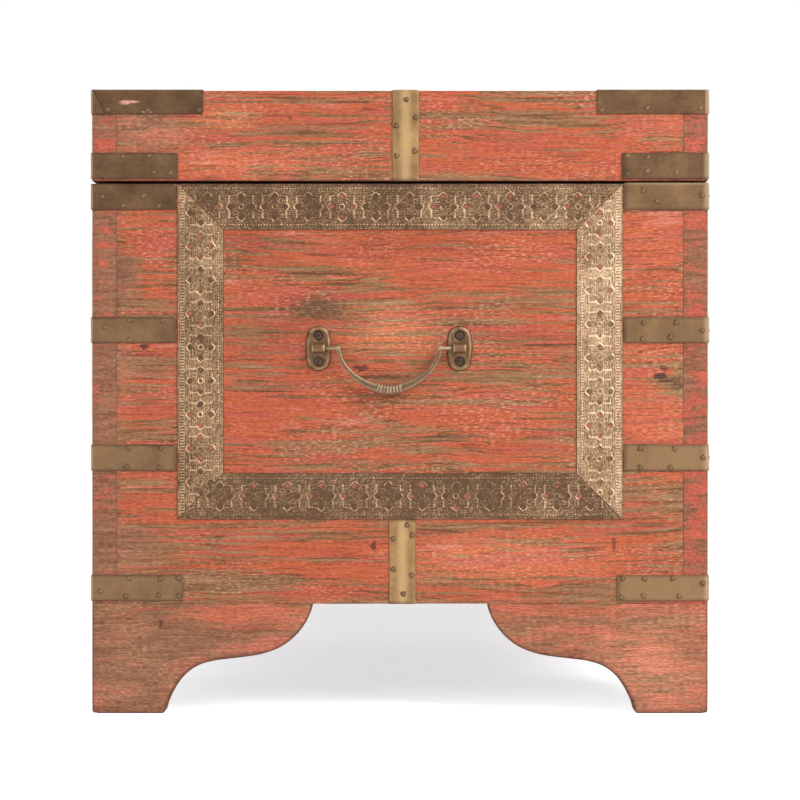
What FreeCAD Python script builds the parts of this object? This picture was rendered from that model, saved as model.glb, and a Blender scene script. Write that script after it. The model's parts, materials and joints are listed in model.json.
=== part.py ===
import FreeCAD, Part
import math
import os

Vector = FreeCAD.Vector
Rotation = FreeCAD.Rotation
Placement = FreeCAD.Placement

# Frame: +Z up, the long side along X, the front faces -Y.
# The origin is the centre of the footprint, on the floor. All sizes are in millimetres.

# Overall sizes
chest_length = 900.0
chest_depth = 450.0
foot_height = 80.0
body_height = 307.0
lid_gap = 2.0
lid_height = 66.0
board_thickness = 18.0

# Planks
wall_seam_shares = (0.217, 0.520, 0.829)
plank_arris = 0.5
floor_board_thickness = 12.0
floor_board_count = 4
cleat_size = 20.0

# Ogee bracket feet, two mitred boards each
foot_top_length = 159.0
foot_floor_length = 52.0
foot_turn_length = 105.0
foot_turn_height = 42.5
foot_toe_radius = 5.0
foot_curve_steps = 8
glue_block_size = 34.0
glue_block_lift = 5.0
glue_block_chamfer_share = 0.45

# Lid
lid_panel_thickness = 15.0
lid_rebate_width = 9.0
lid_panel_clearance = 0.3
lid_plank_count = 4
batten_width = 45.0
batten_thickness = 15.0
batten_place_share = 0.46
batten_chamfer_share = 0.33

# Brass straps
strap_thickness = 0.9
strap_height = 19.0
strap_leg = 61.4
low_strap_leg = 66.5
low_strap_lift = 2.2
strap_level_shares = (0.348, 0.652)
rim_fold_width = 9.0
lid_strap_leg = 62.8
lid_strap_lift = 1.6
cap_leg = 81.0
cap_width = 17.0
centre_strap_width = 19.7
body_centre_strap_offset = -1.8
lid_centre_strap_offset = -4.0
lid_centre_strap_fold = 17.0

# Embossed brass frames, the band without its fine relief
frame_height = 245.0
frame_gap = 1.0
frame_band = 33.6
frame_sheet = 0.7
frame_rim_width = 2.2
frame_rim_height = 1.3
frame_rim_bevel = 0.5

# Forged nails
nail_radius = 1.8
nail_height = 1.0
nail_sides = 4

# Drop handle
handle_height_share = 0.608
handle_offset = 8.0
handle_pitch = 103.0
eye_plate_width = 19.0
eye_plate_height = 33.0
eye_plate_thickness = 2.4
eye_boss_length = 9.6
eye_boss_radius = 3.3
eye_bore_depth = 6.0
bail_standoff = 5.4
bail_half_span = 37.0
bail_drop = 30.2
bail_pin_radius = 1.5
bail_pin_clearance = 0.05
bail_pin_end_gap = 0.5
bail_top_radius = 2.0
bail_grip_radius = 3.2
bail_arm_stations = 5
bail_sides = 10
bail_pin_sides = 16
grip_ring_count = 6
grip_ring_radius = 3.9
grip_ring_width = 2.1
grip_ring_pitch = 2.8

# Countersunk screws
screw_sides = 8
screw_clearance = 0.05
screw_slot_width = 0.7
screw_slot_depth = 0.5
plate_screw_place_share = 0.56
plate_screw_radius = 1.7
plate_screw_head_radius = 3.2
plate_screw_length = 13.0
hinge_screw_radius = 1.5
hinge_screw_head_radius = 2.8
hinge_screw_length = 12.0

# Butt hinges
hinge_place_share = 0.667
hinge_length = 60.0
hinge_standoff = 3.5
hinge_leaf_width = 16.5
hinge_leaf_clearance = 0.06
hinge_knuckle_radius = 3.2
hinge_knuckle_count = 3
hinge_knuckle_gap = 0.3
hinge_pin_radius = 1.5
hinge_pin_clearance = 0.05
hinge_screw_count = 3
hinge_screw_spacing_share = 0.34

# Slotted lid stay
lid_opening_degrees = 95.0
stay_radius = 140.0
stay_pivot_rise = 24.0
stay_stud_drop = 30.0
stay_bar_width = 15.0
stay_bar_thickness = 2.5
stay_plate_thickness = 3.0
stay_plate_width = 18.0
stay_plate_length = 44.0
stay_plate_clip_share = 0.5
stay_plate_screw_share = 0.34
stay_gap = 0.3
stay_pin_radius = 3.0
stay_pin_clearance = 0.05
stay_slot_clearance = 0.3
stay_head_radius = 5.5
stay_head_height = 1.5
stay_pin_sides = 20

# One overrun for all cuts
overrun = 1.0

# Nails on each leg of a strap: share of the leg from the corner, share of the height
back_nail_shares = {
    "top": ((0.12, 0.50), (0.61, 0.54), (0.37, 0.16), (0.79, 0.14)),
    "upper": ((0.45, 0.88), (0.84, 0.86), (0.15, 0.60), (0.45, 0.13)),
    "lower": ((0.43, 0.87), (0.82, 0.88), (0.41, 0.13), (0.80, 0.13)),
    "low": (
        (0.40, 0.87),
        (0.75, 0.85),
        (0.95, 0.87),
        (0.09, 0.37),
        (0.37, 0.19),
        (0.73, 0.22),
        (0.95, 0.20),
    ),
    "lid": ((0.36, 0.84), (0.66, 0.87), (0.72, 0.25), (0.91, 0.22)),
    "cap": ((0.14, 0.17), (0.50, 0.15), (0.96, 0.16)),
}
front_nail_shares = {
    "top": ((0.77, 0.74), (0.61, 0.32), (0.07, 0.54)),
    "upper": ((0.77, 0.78), (0.38, 0.78), (0.07, 0.48), (0.78, 0.15), (0.45, 0.22)),
    "lower": ((0.81, 0.85), (0.40, 0.85), (0.06, 0.50), (0.81, 0.13), (0.45, 0.13)),
    "low": (
        (0.94, 0.86),
        (0.70, 0.86),
        (0.39, 0.87),
        (0.06, 0.68),
        (0.95, 0.14),
        (0.71, 0.20),
        (0.32, 0.18),
    ),
    "lid": ((0.94, 0.87), (0.70, 0.82), (0.94, 0.18), (0.71, 0.29), (0.37, 0.24)),
    "cap": ((0.07, 0.25), (0.55, 0.24), (0.96, 0.16)),
}
# Nails on the centre straps: share of the half width, share of the height
body_centre_nail_shares = (
    (0.68, 0.77),
    (0.68, 0.41),
    (-0.33, 0.93),
    (-0.70, 0.81),
    (-0.70, 0.34),
    (-0.06, 0.12),
)
lid_centre_nail_shares = ((-0.05, 0.90), (-0.75, 0.70), (0.69, 0.61), (-0.70, 0.33), (0.66, 0.28))

# Places that follow from the sizes
half_length = chest_length / 2
half_depth = chest_depth / 2
inner_x = half_length - board_thickness
inner_y = half_depth - board_thickness
body_bottom = foot_height
body_top = foot_height + body_height
lid_bottom = body_top + lid_gap
lid_top = lid_bottom + lid_height
floor_top = body_bottom + cleat_size + floor_board_thickness
panel_floor = lid_top - lid_panel_thickness
frame_bottom = body_top - frame_height
handle_z = body_bottom + body_height * handle_height_share
hinge_x = half_length * hinge_place_share
hinge_y = half_depth + hinge_standoff
hinge_z = body_top + lid_gap / 2

built = {}


def save(node, solids):
    """Write one node: a solid, or several separate solids side by side."""
    shape = solids[0] if len(solids) == 1 else Part.makeCompound(solids)
    shape.exportStep("parts/" + node + ".step")
    built[node] = shape


def box_between(low, high):
    size = high.sub(low)
    return Part.makeBox(size.x, size.y, size.z, low)


def prism(points, path):
    """A closed outline of points, swept along a straight path."""
    outline = Part.makePolygon(list(points) + [points[0]])
    return Part.Face(outline).extrude(path)


def mirror_x(shape):
    return shape.mirror(Vector(0, 0, 0), Vector(1, 0, 0))


def mirror_y(shape):
    return shape.mirror(Vector(0, 0, 0), Vector(0, 1, 0))


def corner_copies(shape):
    """The same piece at the four corners, from the one at the front right."""
    return {
        "front_right": shape,
        "front_left": mirror_x(shape),
        "back_right": mirror_y(shape),
        "back_left": mirror_x(mirror_y(shape)),
    }


def cut_where_met(solids, tools):
    """Cut each solid only with the tools that reach it."""
    result = []
    for solid in solids:
        for tool in tools:
            if solid.BoundBox.intersect(tool.BoundBox):
                solid = solid.cut(tool)
        result.append(solid)
    return result


def obround_face(first, second, radius, normal):
    """A flat face with round ends about two centres."""
    along = second.sub(first).normalize()
    across = normal.cross(along).multiply(radius)
    ahead = Vector(along).multiply(radius)
    corners = [first.add(across), second.add(across), second.sub(across), first.sub(across)]
    edges = [
        Part.LineSegment(corners[0], corners[1]).toShape(),
        Part.Arc(corners[1], second.add(ahead), corners[2]).toShape(),
        Part.LineSegment(corners[2], corners[3]).toShape(),
        Part.Arc(corners[3], first.sub(ahead), corners[0]).toShape(),
    ]
    return Part.Face(Part.Wire(edges))


def ring_of(centre, radius, sides):
    """Corners of a level polygon about a centre."""
    corners = []
    for index in range(sides):
        turn = 2 * math.pi * (index + 1 / 2) / sides
        corners.append(centre.add(Vector(radius * math.cos(turn), radius * math.sin(turn), 0)))
    return corners


def flat_face(corners):
    return Part.Face(Part.makePolygon(corners + [corners[0]]))


def closed_solid(faces):
    solid = Part.Solid(Part.Shell(faces))
    if solid.Volume < 0:
        solid.reverse()
    return solid


def skinned(rings):
    """A solid through rings of corners, of flat three cornered faces, closed at both ends."""
    faces = [flat_face(rings[0]), flat_face(rings[-1])]
    for low, high in zip(rings, rings[1:]):
        for index in range(len(low)):
            following = (index + 1) % len(low)
            faces.append(flat_face([low[index], low[following], high[following]]))
            faces.append(flat_face([low[index], high[following], high[index]]))
    return closed_solid(faces)


def faceted(profile, sides, base, axis):
    """A turned piece with flat sides, from (radius, height) points up an axis through base."""
    rings = [ring_of(Vector(0, 0, height), radius, sides) for radius, height in profile]
    faces = [flat_face(rings[0]), flat_face(rings[-1])]
    for low, high in zip(rings, rings[1:]):
        for index in range(sides):
            following = (index + 1) % sides
            faces.append(flat_face([low[index], low[following], high[following], high[index]]))
    solid = closed_solid(faces)
    solid.Placement = Placement(base, Rotation(Vector(0, 0, 1), axis))
    return solid


def screw(top, outward, radius, head_radius, length, head_height):
    """A countersunk screw with its flat, slotted head at top."""
    profile = [(radius, -length), (radius, -head_height), (head_radius, 0)]
    solid = faceted(profile, screw_sides, top, outward)
    across = Vector(0, 1, 0) if abs(outward.y) < abs(outward.x) + abs(outward.z) else Vector(1, 0, 0)
    side = outward.cross(across)
    slot = Part.makeBox(2 * head_radius, screw_slot_width, screw_slot_depth + overrun)
    slot.translate(Vector(-head_radius, -screw_slot_width / 2, -screw_slot_depth))
    slot.Placement = Placement(top, Rotation(side, across, outward, "ZXY")).multiply(slot.Placement)
    return solid.cut(slot)


def screw_hole(top, outward, radius, head_radius, length, head_height):
    """The hole that the screw fills, with the screw clearance all round."""
    gap = screw_clearance
    profile = [
        (radius + gap, -length - gap),
        (radius + gap, -head_height - gap),
        (head_radius + gap, 0),
        (head_radius + gap, overrun),
    ]
    return faceted(profile, screw_sides, top, outward)


def plate_screw_places():
    """Heads of the four screws of the right handle's eye plates."""
    face = half_length + eye_plate_thickness
    reach = eye_plate_height / 2 * plate_screw_place_share
    return [
        Vector(face, handle_offset + side * handle_pitch / 2, handle_z + up * reach)
        for side in (-1, 1)
        for up in (-1, 1)
    ]


def plate_screw_sizes():
    return plate_screw_radius, plate_screw_head_radius, plate_screw_length, plate_screw_head_radius / 2


def plate_screws(make):
    return [make(place, Vector(1, 0, 0), *plate_screw_sizes()) for place in plate_screw_places()]


def hinge_screw_sizes():
    leaf = lid_gap / 2 - hinge_leaf_clearance / 2
    return hinge_screw_radius, hinge_screw_head_radius, hinge_screw_length, leaf


def hinge_screw_places(side, up):
    """Heads of the screws in one leaf of the right (1) or left (-1) hinge; up is 1 for the lid's leaf."""
    middle = (hinge_screw_count - 1) / 2
    step = hinge_length * hinge_screw_spacing_share
    across = half_depth - hinge_leaf_width / 2
    height = hinge_z + up * hinge_leaf_clearance / 2
    return [
        Vector(side * hinge_x + (index - middle) * step, across, height)
        for index in range(hinge_screw_count)
    ]


def all_hinge_screws(up, make):
    facing = Vector(0, 0, -up)
    return [
        make(place, facing, *hinge_screw_sizes())
        for side in (-1, 1)
        for place in hinge_screw_places(side, up)
    ]


def stay_pivot():
    """Centre of the stay's pivot on the lid, at the inner face of the right end."""
    back = math.sqrt(stay_radius**2 - stay_pivot_rise**2)
    return Vector(inner_x, hinge_y - back, hinge_z + stay_pivot_rise)


def stay_stud():
    """Centre of the stay's stud on the body, as far from the hinge pin as the pivot is."""
    back = math.sqrt(stay_radius**2 - stay_stud_drop**2)
    return Vector(inner_x, hinge_y - back, hinge_z - stay_stud_drop)


def stay_screw_places(centre):
    reach = stay_plate_length * stay_plate_screw_share
    inward = Vector(-stay_plate_thickness, 0, 0)
    return [centre.add(inward).add(Vector(0, side * reach, 0)) for side in (-1, 1)]


def stay_screws(centre, make):
    sizes = (hinge_screw_radius, hinge_screw_head_radius, hinge_screw_length, stay_plate_thickness)
    return [make(place, Vector(-1, 0, 0), *sizes) for place in stay_screw_places(centre)]


# Body

def wall_bands():
    """Heights of the plank seams, from the body's bottom to its rim."""
    levels = [body_bottom]
    levels += [body_bottom + body_height * share for share in wall_seam_shares]
    levels.append(body_top)
    return list(zip(levels, levels[1:]))


def board_section(face, inner, low, high):
    """Outline of a board on edge: (depth, height) points, outer edges eased."""
    ease = math.copysign(plank_arris, inner - face)
    return [
        (inner, low),
        (face + ease, low),
        (face, low + plank_arris),
        (face, high - plank_arris),
        (face + ease, high),
        (inner, high),
    ]


def long_board(low, high):
    """A board of the front, running past the ends."""
    section = board_section(-half_depth, -inner_y, low, high)
    return prism([Vector(-half_length, y, z) for y, z in section], Vector(chest_length, 0, 0))


def end_board(low, high):
    """A board of the right end, between the front and the back."""
    section = board_section(half_length, inner_x, low, high)
    return prism([Vector(x, -inner_y, z) for x, z in section], Vector(0, 2 * inner_y, 0))


def make_walls():
    front = [long_board(low, high) for low, high in wall_bands()]
    back = cut_where_met([mirror_y(board) for board in front], all_hinge_screws(-1, screw_hole))
    end = [end_board(low, high) for low, high in wall_bands()]
    end = cut_where_met(end, plate_screws(screw_hole))
    right = cut_where_met(end, stay_screws(stay_stud(), screw_hole))
    save("front_wall_planks", front)
    save("back_wall_planks", back)
    save("right_end_planks", right)
    save("left_end_planks", [mirror_x(board) for board in end])


def make_floor():
    width = 2 * inner_y / floor_board_count
    low = body_bottom + cleat_size
    boards = [
        box_between(
            Vector(-inner_x, -inner_y + width * index, low),
            Vector(inner_x, -inner_y + width * (index + 1), floor_top),
        )
        for index in range(floor_board_count)
    ]
    save("floor_boards", boards)
    long_cleat = box_between(
        Vector(-inner_x, -inner_y, body_bottom),
        Vector(inner_x, cleat_size - inner_y, low),
    )
    end_cleat = box_between(
        Vector(inner_x - cleat_size, cleat_size - inner_y, body_bottom),
        Vector(inner_x, inner_y - cleat_size, low),
    )
    save("floor_cleats", [long_cleat, mirror_y(long_cleat), end_cleat, mirror_x(end_cleat)])


# Feet

def oval_quarter(centre, across, up, start_degrees):
    """Points of a quarter ellipse in the XZ plane, counter-clockwise from an angle."""
    points = []
    for index in range(foot_curve_steps + 1):
        turn = math.radians(start_degrees + 90 * index / foot_curve_steps)
        points.append(centre.add(Vector(across * math.cos(turn), 0, up * math.sin(turn))))
    return points


def foot_outline():
    """Points of a foot board's ogee outline: X runs from the chest's corner, Z up from the floor."""
    toe = foot_toe_radius
    upper_reach = foot_top_length - foot_turn_length
    lower_reach = foot_turn_length - foot_floor_length
    rise = foot_height - foot_turn_height
    hollow = oval_quarter(Vector(foot_turn_length, 0, foot_height), upper_reach, rise, 270)
    swell = oval_quarter(Vector(foot_turn_length, 0, 0), lower_reach, foot_turn_height, 90)
    corner = oval_quarter(Vector(toe, 0, toe), toe, toe, 180)
    points = [Vector(0, 0, foot_height)]
    points += reversed(hollow[1:])
    points += swell
    points += reversed(corner)
    return points


def mitred_foot_board():
    """A foot board in the plane of the front, its mitre at the origin corner."""
    board = prism(foot_outline(), Vector(0, board_thickness, 0))
    plan = [
        Vector(0, 0, 0),
        Vector(foot_top_length, 0, 0),
        Vector(foot_top_length, board_thickness, 0),
        Vector(board_thickness, board_thickness, 0),
    ]
    return board.common(prism(plan, Vector(0, 0, foot_height)))


def make_feet():
    side = mirror_x(mitred_foot_board())
    side.translate(Vector(half_length, -half_depth, 0))
    end = mitred_foot_board().mirror(Vector(0, 0, 0), Vector(1, -1, 0))
    end = mirror_x(end)
    end.translate(Vector(half_length, -half_depth, 0))
    for place, board in corner_copies(side).items():
        save("foot_" + place + "_side", [board])
    for place, board in corner_copies(end).items():
        save("foot_" + place + "_end", [board])


def make_glue_blocks():
    """Blocks glued behind the mitres, up to the underside of the cleats."""
    size = glue_block_size
    slant = size * glue_block_chamfer_share
    plan = [(0, 0), (size, 0), (size, size - slant), (size - slant, size), (0, size)]
    points = [Vector(inner_x - x, y - inner_y, glue_block_lift) for x, y in plan]
    block = prism(points, Vector(0, 0, body_bottom - glue_block_lift))
    save("foot_glue_blocks", list(corner_copies(block).values()))


# Lid

def make_lid_rails():
    seat_x = half_length - lid_rebate_width
    seat_y = half_depth - lid_rebate_width
    seat = box_between(
        Vector(-seat_x, -seat_y, panel_floor),
        Vector(seat_x, seat_y, lid_top + overrun),
    )
    front = long_board(lid_bottom, lid_top).cut(seat)
    back = mirror_y(front)
    back = cut_where_met([back], all_hinge_screws(1, screw_hole))
    end = end_board(lid_bottom, lid_top).cut(seat)
    right = cut_where_met([end], stay_screws(stay_pivot(), screw_hole))
    save("lid_front_rail", [front])
    save("lid_back_rail", back)
    save("lid_right_rail", right)
    save("lid_left_rail", [mirror_x(end)])


def make_lid_panel():
    """Top planks lying in the rebate, flush with the rails, and the battens across them."""
    reach_x = half_length - lid_rebate_width - lid_panel_clearance
    reach_y = half_depth - lid_rebate_width - lid_panel_clearance
    width = 2 * reach_y / lid_plank_count
    ease = plank_arris
    planks = []
    for index in range(lid_plank_count):
        near = -reach_y + width * index
        far = near + width
        section = [
            (near, panel_floor),
            (far, panel_floor),
            (far, lid_top - ease),
            (far - ease, lid_top),
            (near + ease, lid_top),
            (near, lid_top - ease),
        ]
        planks.append(prism([Vector(-reach_x, y, z) for y, z in section], Vector(2 * reach_x, 0, 0)))
    save("lid_top_planks", planks)
    middle = half_length * batten_place_share
    low = panel_floor - batten_thickness
    drop = batten_thickness * batten_chamfer_share
    section = [
        (middle - batten_width / 2, panel_floor),
        (middle - batten_width / 2, low + drop),
        (middle - batten_width / 2 + drop, low),
        (middle + batten_width / 2 - drop, low),
        (middle + batten_width / 2, low + drop),
        (middle + batten_width / 2, panel_floor),
    ]
    batten = prism([Vector(x, -inner_y, z) for x, z in section], Vector(0, 2 * inner_y, 0))
    save("lid_battens", [batten, mirror_x(batten)])


# Brass straps

def corner_strap(low, high, leg):
    """A strap bent round the front right corner, its bend eased."""
    x = half_length
    y = -half_depth
    skin = strap_thickness
    ease = skin / 2
    plan = [
        (x, y),
        (x, y + leg),
        (x + skin, y + leg),
        (x + skin, y - skin + ease),
        (x + skin - ease, y - skin),
        (x - leg, y - skin),
        (x - leg, y),
    ]
    return prism([Vector(a, b, low) for a, b in plan], Vector(0, 0, high - low))


def rim_fold(leg):
    """The lip that folds a top strap over the rim at the front right corner."""
    x = half_length
    y = -half_depth
    plan = [
        (x, y),
        (x, y + leg),
        (x - rim_fold_width, y + leg),
        (x - rim_fold_width, y + rim_fold_width),
        (x - leg, y + rim_fold_width),
        (x - leg, y),
    ]
    return prism([Vector(a, b, body_top) for a, b in plan], Vector(0, 0, strap_thickness))


def body_strap_levels():
    """Name, bottom and leg of the straps at one corner, from the rim down."""
    upper, lower = [body_top - strap_height / 2 - body_height * share for share in strap_level_shares]
    return [
        ("top", body_top - strap_height, strap_leg),
        ("upper", upper, strap_leg),
        ("lower", lower, strap_leg),
        ("low", body_bottom + low_strap_lift, low_strap_leg),
    ]


def make_body_straps():
    plain = [corner_strap(low, low + strap_height, leg) for name, low, leg in body_strap_levels()]
    folded = corner_strap(body_top - strap_height, body_top + strap_thickness, strap_leg)
    folded = folded.fuse(rim_fold(strap_leg)).removeSplitter()
    front = [folded] + plain[1:]
    save("body_straps_front_right", front)
    save("body_straps_front_left", [mirror_x(strap) for strap in front])
    save("body_straps_back_right", [mirror_y(strap) for strap in plain])
    save("body_straps_back_left", [mirror_x(mirror_y(strap)) for strap in plain])


def top_cap():
    """Sheet folded over the lid's top at the front right corner and round the corner."""
    x = half_length
    y = -half_depth
    skin = strap_thickness
    plan = [
        (x + skin, y - skin),
        (x + skin, y + cap_leg),
        (x - cap_width, y + cap_leg),
        (x - cap_width, y + cap_width),
        (x - cap_leg, y + cap_width),
        (x - cap_leg, y - skin),
    ]
    low = lid_top - cap_width
    outer = prism([Vector(a, b, low) for a, b in plan], Vector(0, 0, cap_width + skin))
    wood = box_between(
        Vector(x - cap_leg - overrun, y, low - overrun),
        Vector(x, y + cap_leg + overrun, lid_top),
    )
    return outer.cut(wood)


def make_lid_straps():
    low = lid_bottom + lid_strap_lift
    strap = corner_strap(low, low + strap_height, lid_strap_leg)
    save("lid_corner_straps", list(corner_copies(strap).values()))
    save("lid_corner_caps", list(corner_copies(top_cap()).values()))


def upright_strap(face, offset, low, high):
    """A strap up the middle of the right end, standing on its face."""
    near = offset - centre_strap_width / 2
    return box_between(
        Vector(face, near, low),
        Vector(face + strap_thickness, near + centre_strap_width, high),
    )


def folded_centre_strap(face, offset):
    """A centre strap of the lid, folded over its top."""
    strap = upright_strap(face, offset, lid_bottom, lid_top + strap_thickness)
    near = offset - centre_strap_width / 2
    lip = box_between(
        Vector(face - lid_centre_strap_fold, near, lid_top),
        Vector(face, near + centre_strap_width, lid_top + strap_thickness),
    )
    return strap.fuse(lip).removeSplitter()


def to_front(shape):
    """Turn a piece made for the right end about Z, so that it lies on the front."""
    return shape.rotated(Vector(0, 0, 0), Vector(0, 0, 1), -90)


def make_centre_straps():
    body_end = upright_strap(half_length, body_centre_strap_offset, body_bottom, frame_bottom)
    body_front = to_front(upright_strap(half_depth, body_centre_strap_offset, body_bottom, frame_bottom))
    save("body_centre_straps", [body_end, mirror_x(body_end), body_front])
    lid_end = folded_centre_strap(half_length, lid_centre_strap_offset)
    lid_front = to_front(folded_centre_strap(half_depth, lid_centre_strap_offset))
    save("lid_centre_straps", [lid_end, mirror_x(lid_end), lid_front])


# Embossed frames

def frame_strip(length):
    """One strip lying along X from the origin, its band towards +Y, raised along +Z, ends mitred."""
    rim = frame_rim_width
    bevel = frame_rim_bevel
    high = frame_rim_height
    half = [(0, 0), (0, high - bevel), (bevel, high), (rim - bevel, high), (rim, frame_sheet)]
    section = half + [(frame_band - y, z) for y, z in reversed(half)]
    strip = prism([Vector(0, y, z) for y, z in section], Vector(length, 0, 0))
    mitre = [(0, 0), (length, 0), (length - frame_band, frame_band), (frame_band, frame_band)]
    return strip.common(prism([Vector(x, y, 0) for x, y in mitre], Vector(0, 0, high)))


def flat_frame(width):
    """Four strips round a rectangle in the XY plane, centred on the origin."""
    sides = [
        (width, -width / 2, -frame_height / 2),
        (frame_height, width / 2, -frame_height / 2),
        (width, width / 2, frame_height / 2),
        (frame_height, -width / 2, frame_height / 2),
    ]
    strips = []
    for quarter, (length, x, y) in enumerate(sides):
        strip = frame_strip(length)
        strip.Placement = Placement(Vector(x, y, 0), Rotation(Vector(0, 0, 1), 90 * quarter))
        strips.append(strip)
    return strips


def stood_up(strips, face):
    """Stand the strips of a flat frame on the right end's face."""
    centre = Vector(face, 0, frame_bottom + frame_height / 2)
    turned = []
    for strip in strips:
        strip = strip.copy()
        strip.Placement = Placement(centre, Rotation(Vector(1, 1, 1), 120)).multiply(strip.Placement)
        turned.append(strip)
    return turned


def make_frames():
    clear = strap_leg + frame_gap
    end = stood_up(flat_frame(chest_depth - 2 * clear), half_length)
    save("right_end_brass_frame", end)
    save("left_end_brass_frame", [mirror_x(strip) for strip in end])
    front = stood_up(flat_frame(chest_length - 2 * clear), half_depth)
    save("front_brass_frame", [to_front(strip) for strip in front])


# Nails

def nail(point, outward):
    """The head of a nail, hammered to flat sides, standing on point."""
    rim = ring_of(Vector(0, 0, 0), nail_radius, nail_sides)
    tip = Vector(0, 0, nail_height)
    faces = [flat_face(rim)]
    faces += [flat_face([first, second, tip]) for first, second in zip(rim, rim[1:] + rim[:1])]
    head = closed_solid(faces)
    head.Placement = Placement(point, Rotation(Vector(0, 0, 1), outward))
    return head


def leg_nails(shares, low, leg, height):
    """Nails on both legs of a strap at the front right corner."""
    heads = []
    for along, up in shares:
        z = low + height * up
        on_end = Vector(half_length + strap_thickness, leg * along - half_depth, z)
        on_side = Vector(half_length - leg * along, -half_depth - strap_thickness, z)
        heads.append(nail(on_end, Vector(1, 0, 0)))
        heads.append(nail(on_side, Vector(0, -1, 0)))
    return heads


def both_ends(heads):
    return heads + [mirror_x(head) for head in heads]


def strap_nails(rows):
    """Nails of the given straps at all four corners; rows hold name, bottom, leg and height."""
    front = []
    back = []
    for name, low, leg, height in rows:
        front += leg_nails(front_nail_shares[name], low, leg, height)
        back += leg_nails(back_nail_shares[name], low, leg, height)
    return both_ends(front) + both_ends([mirror_y(head) for head in back])


def centre_nails(shares, offset, low, high):
    """Nails of the centre straps on both ends and the front."""
    heads = []
    for across, up in shares:
        y = offset + centre_strap_width / 2 * across
        z = low + (high - low) * up
        end = nail(Vector(half_length + strap_thickness, y, z), Vector(1, 0, 0))
        front = to_front(nail(Vector(half_depth + strap_thickness, y, z), Vector(1, 0, 0)))
        heads += [end, mirror_x(end), front]
    return heads


def make_nails():
    body_rows = [(name, low, leg, strap_height) for name, low, leg in body_strap_levels()]
    body = strap_nails(body_rows)
    body += centre_nails(body_centre_nail_shares, body_centre_strap_offset, body_bottom, frame_bottom)
    save("body_strap_nails", body)
    lid_rows = [
        ("lid", lid_bottom + lid_strap_lift, lid_strap_leg, strap_height),
        ("cap", lid_top - cap_width, cap_leg, cap_width),
    ]
    lid = strap_nails(lid_rows)
    lid += centre_nails(lid_centre_nail_shares, lid_centre_strap_offset, lid_bottom, lid_top)
    save("lid_strap_nails", lid)


# Drop handles

def eye_plate(side):
    """An eye plate of the right handle: -1 is nearer the front, 1 nearer the back."""
    centre = Vector(half_length, handle_offset + side * handle_pitch / 2, handle_z)
    out = Vector(1, 0, 0)
    radius = eye_plate_width / 2
    reach = Vector(0, 0, eye_plate_height / 2 - radius)
    low = centre.sub(reach)
    high = centre.add(reach)
    base = obround_face(low, high, radius, out).extrude(Vector(eye_plate_thickness, 0, 0))
    boss_start = centre.sub(Vector(0, eye_boss_length / 2, 0))
    web = box_between(
        boss_start.sub(Vector(0, 0, eye_boss_radius)),
        boss_start.add(Vector(bail_standoff, eye_boss_length, eye_boss_radius)),
    )
    round_top = Part.makeCylinder(
        eye_boss_radius, eye_boss_length, boss_start.add(Vector(bail_standoff, 0, 0)), Vector(0, 1, 0)
    )
    plate = base.fuse([web, round_top]).removeSplitter()
    mouth = centre.add(Vector(bail_standoff, -side * (eye_boss_length / 2 + overrun), 0))
    bore = Part.makeCylinder(
        bail_pin_radius + bail_pin_clearance, eye_bore_depth + overrun, mouth, Vector(0, side, 0)
    )
    return cut_where_met([plate.cut(bore)], plate_screws(screw_hole))[0]


def bail_point(turn):
    """Point on the bail's half ellipse; turn runs from 0 at one pin to pi at the other."""
    return Vector(0, bail_half_span * math.cos(turn), -bail_drop * math.sin(turn))


def bail_direction(turn):
    return Vector(0, -bail_half_span * math.sin(turn), -bail_drop * math.cos(turn)).normalize()


def bail_section(centre, along, radius):
    """Corners of a flat sided section of the bar, square to its run."""
    across = along.cross(Vector(1, 0, 0))
    placing = Placement(centre, Rotation(Vector(1, 0, 0), across, along, "ZXY"))
    return [placing.multVec(corner) for corner in ring_of(Vector(0, 0, 0), radius, bail_sides)]


def grip_stations():
    """Turn and radius along the grip: each turned ring swells and falls back."""
    half = grip_ring_width / 2
    middle = (grip_ring_count - 1) / 2
    stations = []
    for index in range(grip_ring_count):
        centre = (middle - index) * grip_ring_pitch
        for step, radius in ((half, bail_grip_radius), (0, grip_ring_radius), (-half, bail_grip_radius)):
            stations.append((math.acos((centre + step) / bail_half_span), radius))
    return stations


def arm_stations(grip_turn):
    """Turn and radius down one arm, thin at the pin and full at the grip."""
    stations = []
    for index in range(bail_arm_stations):
        share = index / bail_arm_stations
        radius = bail_top_radius + (bail_grip_radius - bail_top_radius) * math.sin(math.pi / 2 * share)
        stations.append((grip_turn * share, radius))
    return stations


def make_bail():
    """The right bail, hanging: a half ellipse with turned rings and a pin at each top end."""
    grip = grip_stations()
    arm = arm_stations(grip[0][0])
    stations = arm + grip + [(math.pi - turn, radius) for turn, radius in reversed(arm)]
    sections = [bail_section(bail_point(turn), bail_direction(turn), radius) for turn, radius in stations]
    above = Vector(0, 0, bail_top_radius)
    first = bail_section(bail_point(0).add(above), bail_direction(0), bail_pin_radius)
    last = bail_section(bail_point(math.pi).add(above), bail_direction(math.pi), bail_pin_radius)
    bar = skinned([first] + sections + [last])
    pin_end = handle_pitch / 2 - eye_boss_length / 2 + eye_bore_depth - bail_pin_end_gap
    profile = [(bail_pin_radius, bail_half_span - bail_top_radius), (bail_pin_radius, pin_end)]
    pins = [faceted(profile, bail_pin_sides, Vector(0, 0, 0), Vector(0, side, 0)) for side in (-1, 1)]
    bail = bar.fuse(pins)
    bail.translate(Vector(half_length + bail_standoff, handle_offset, handle_z))
    return bail


def make_handles():
    pieces = {
        "handle_plates": [eye_plate(-1), eye_plate(1)],
        "handle_bail": [make_bail()],
        "handle_screws": plate_screws(screw),
    }
    for name, solids in pieces.items():
        save("right_" + name, solids)
        save("left_" + name, [mirror_x(solid) for solid in solids])


# Hinges

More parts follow.
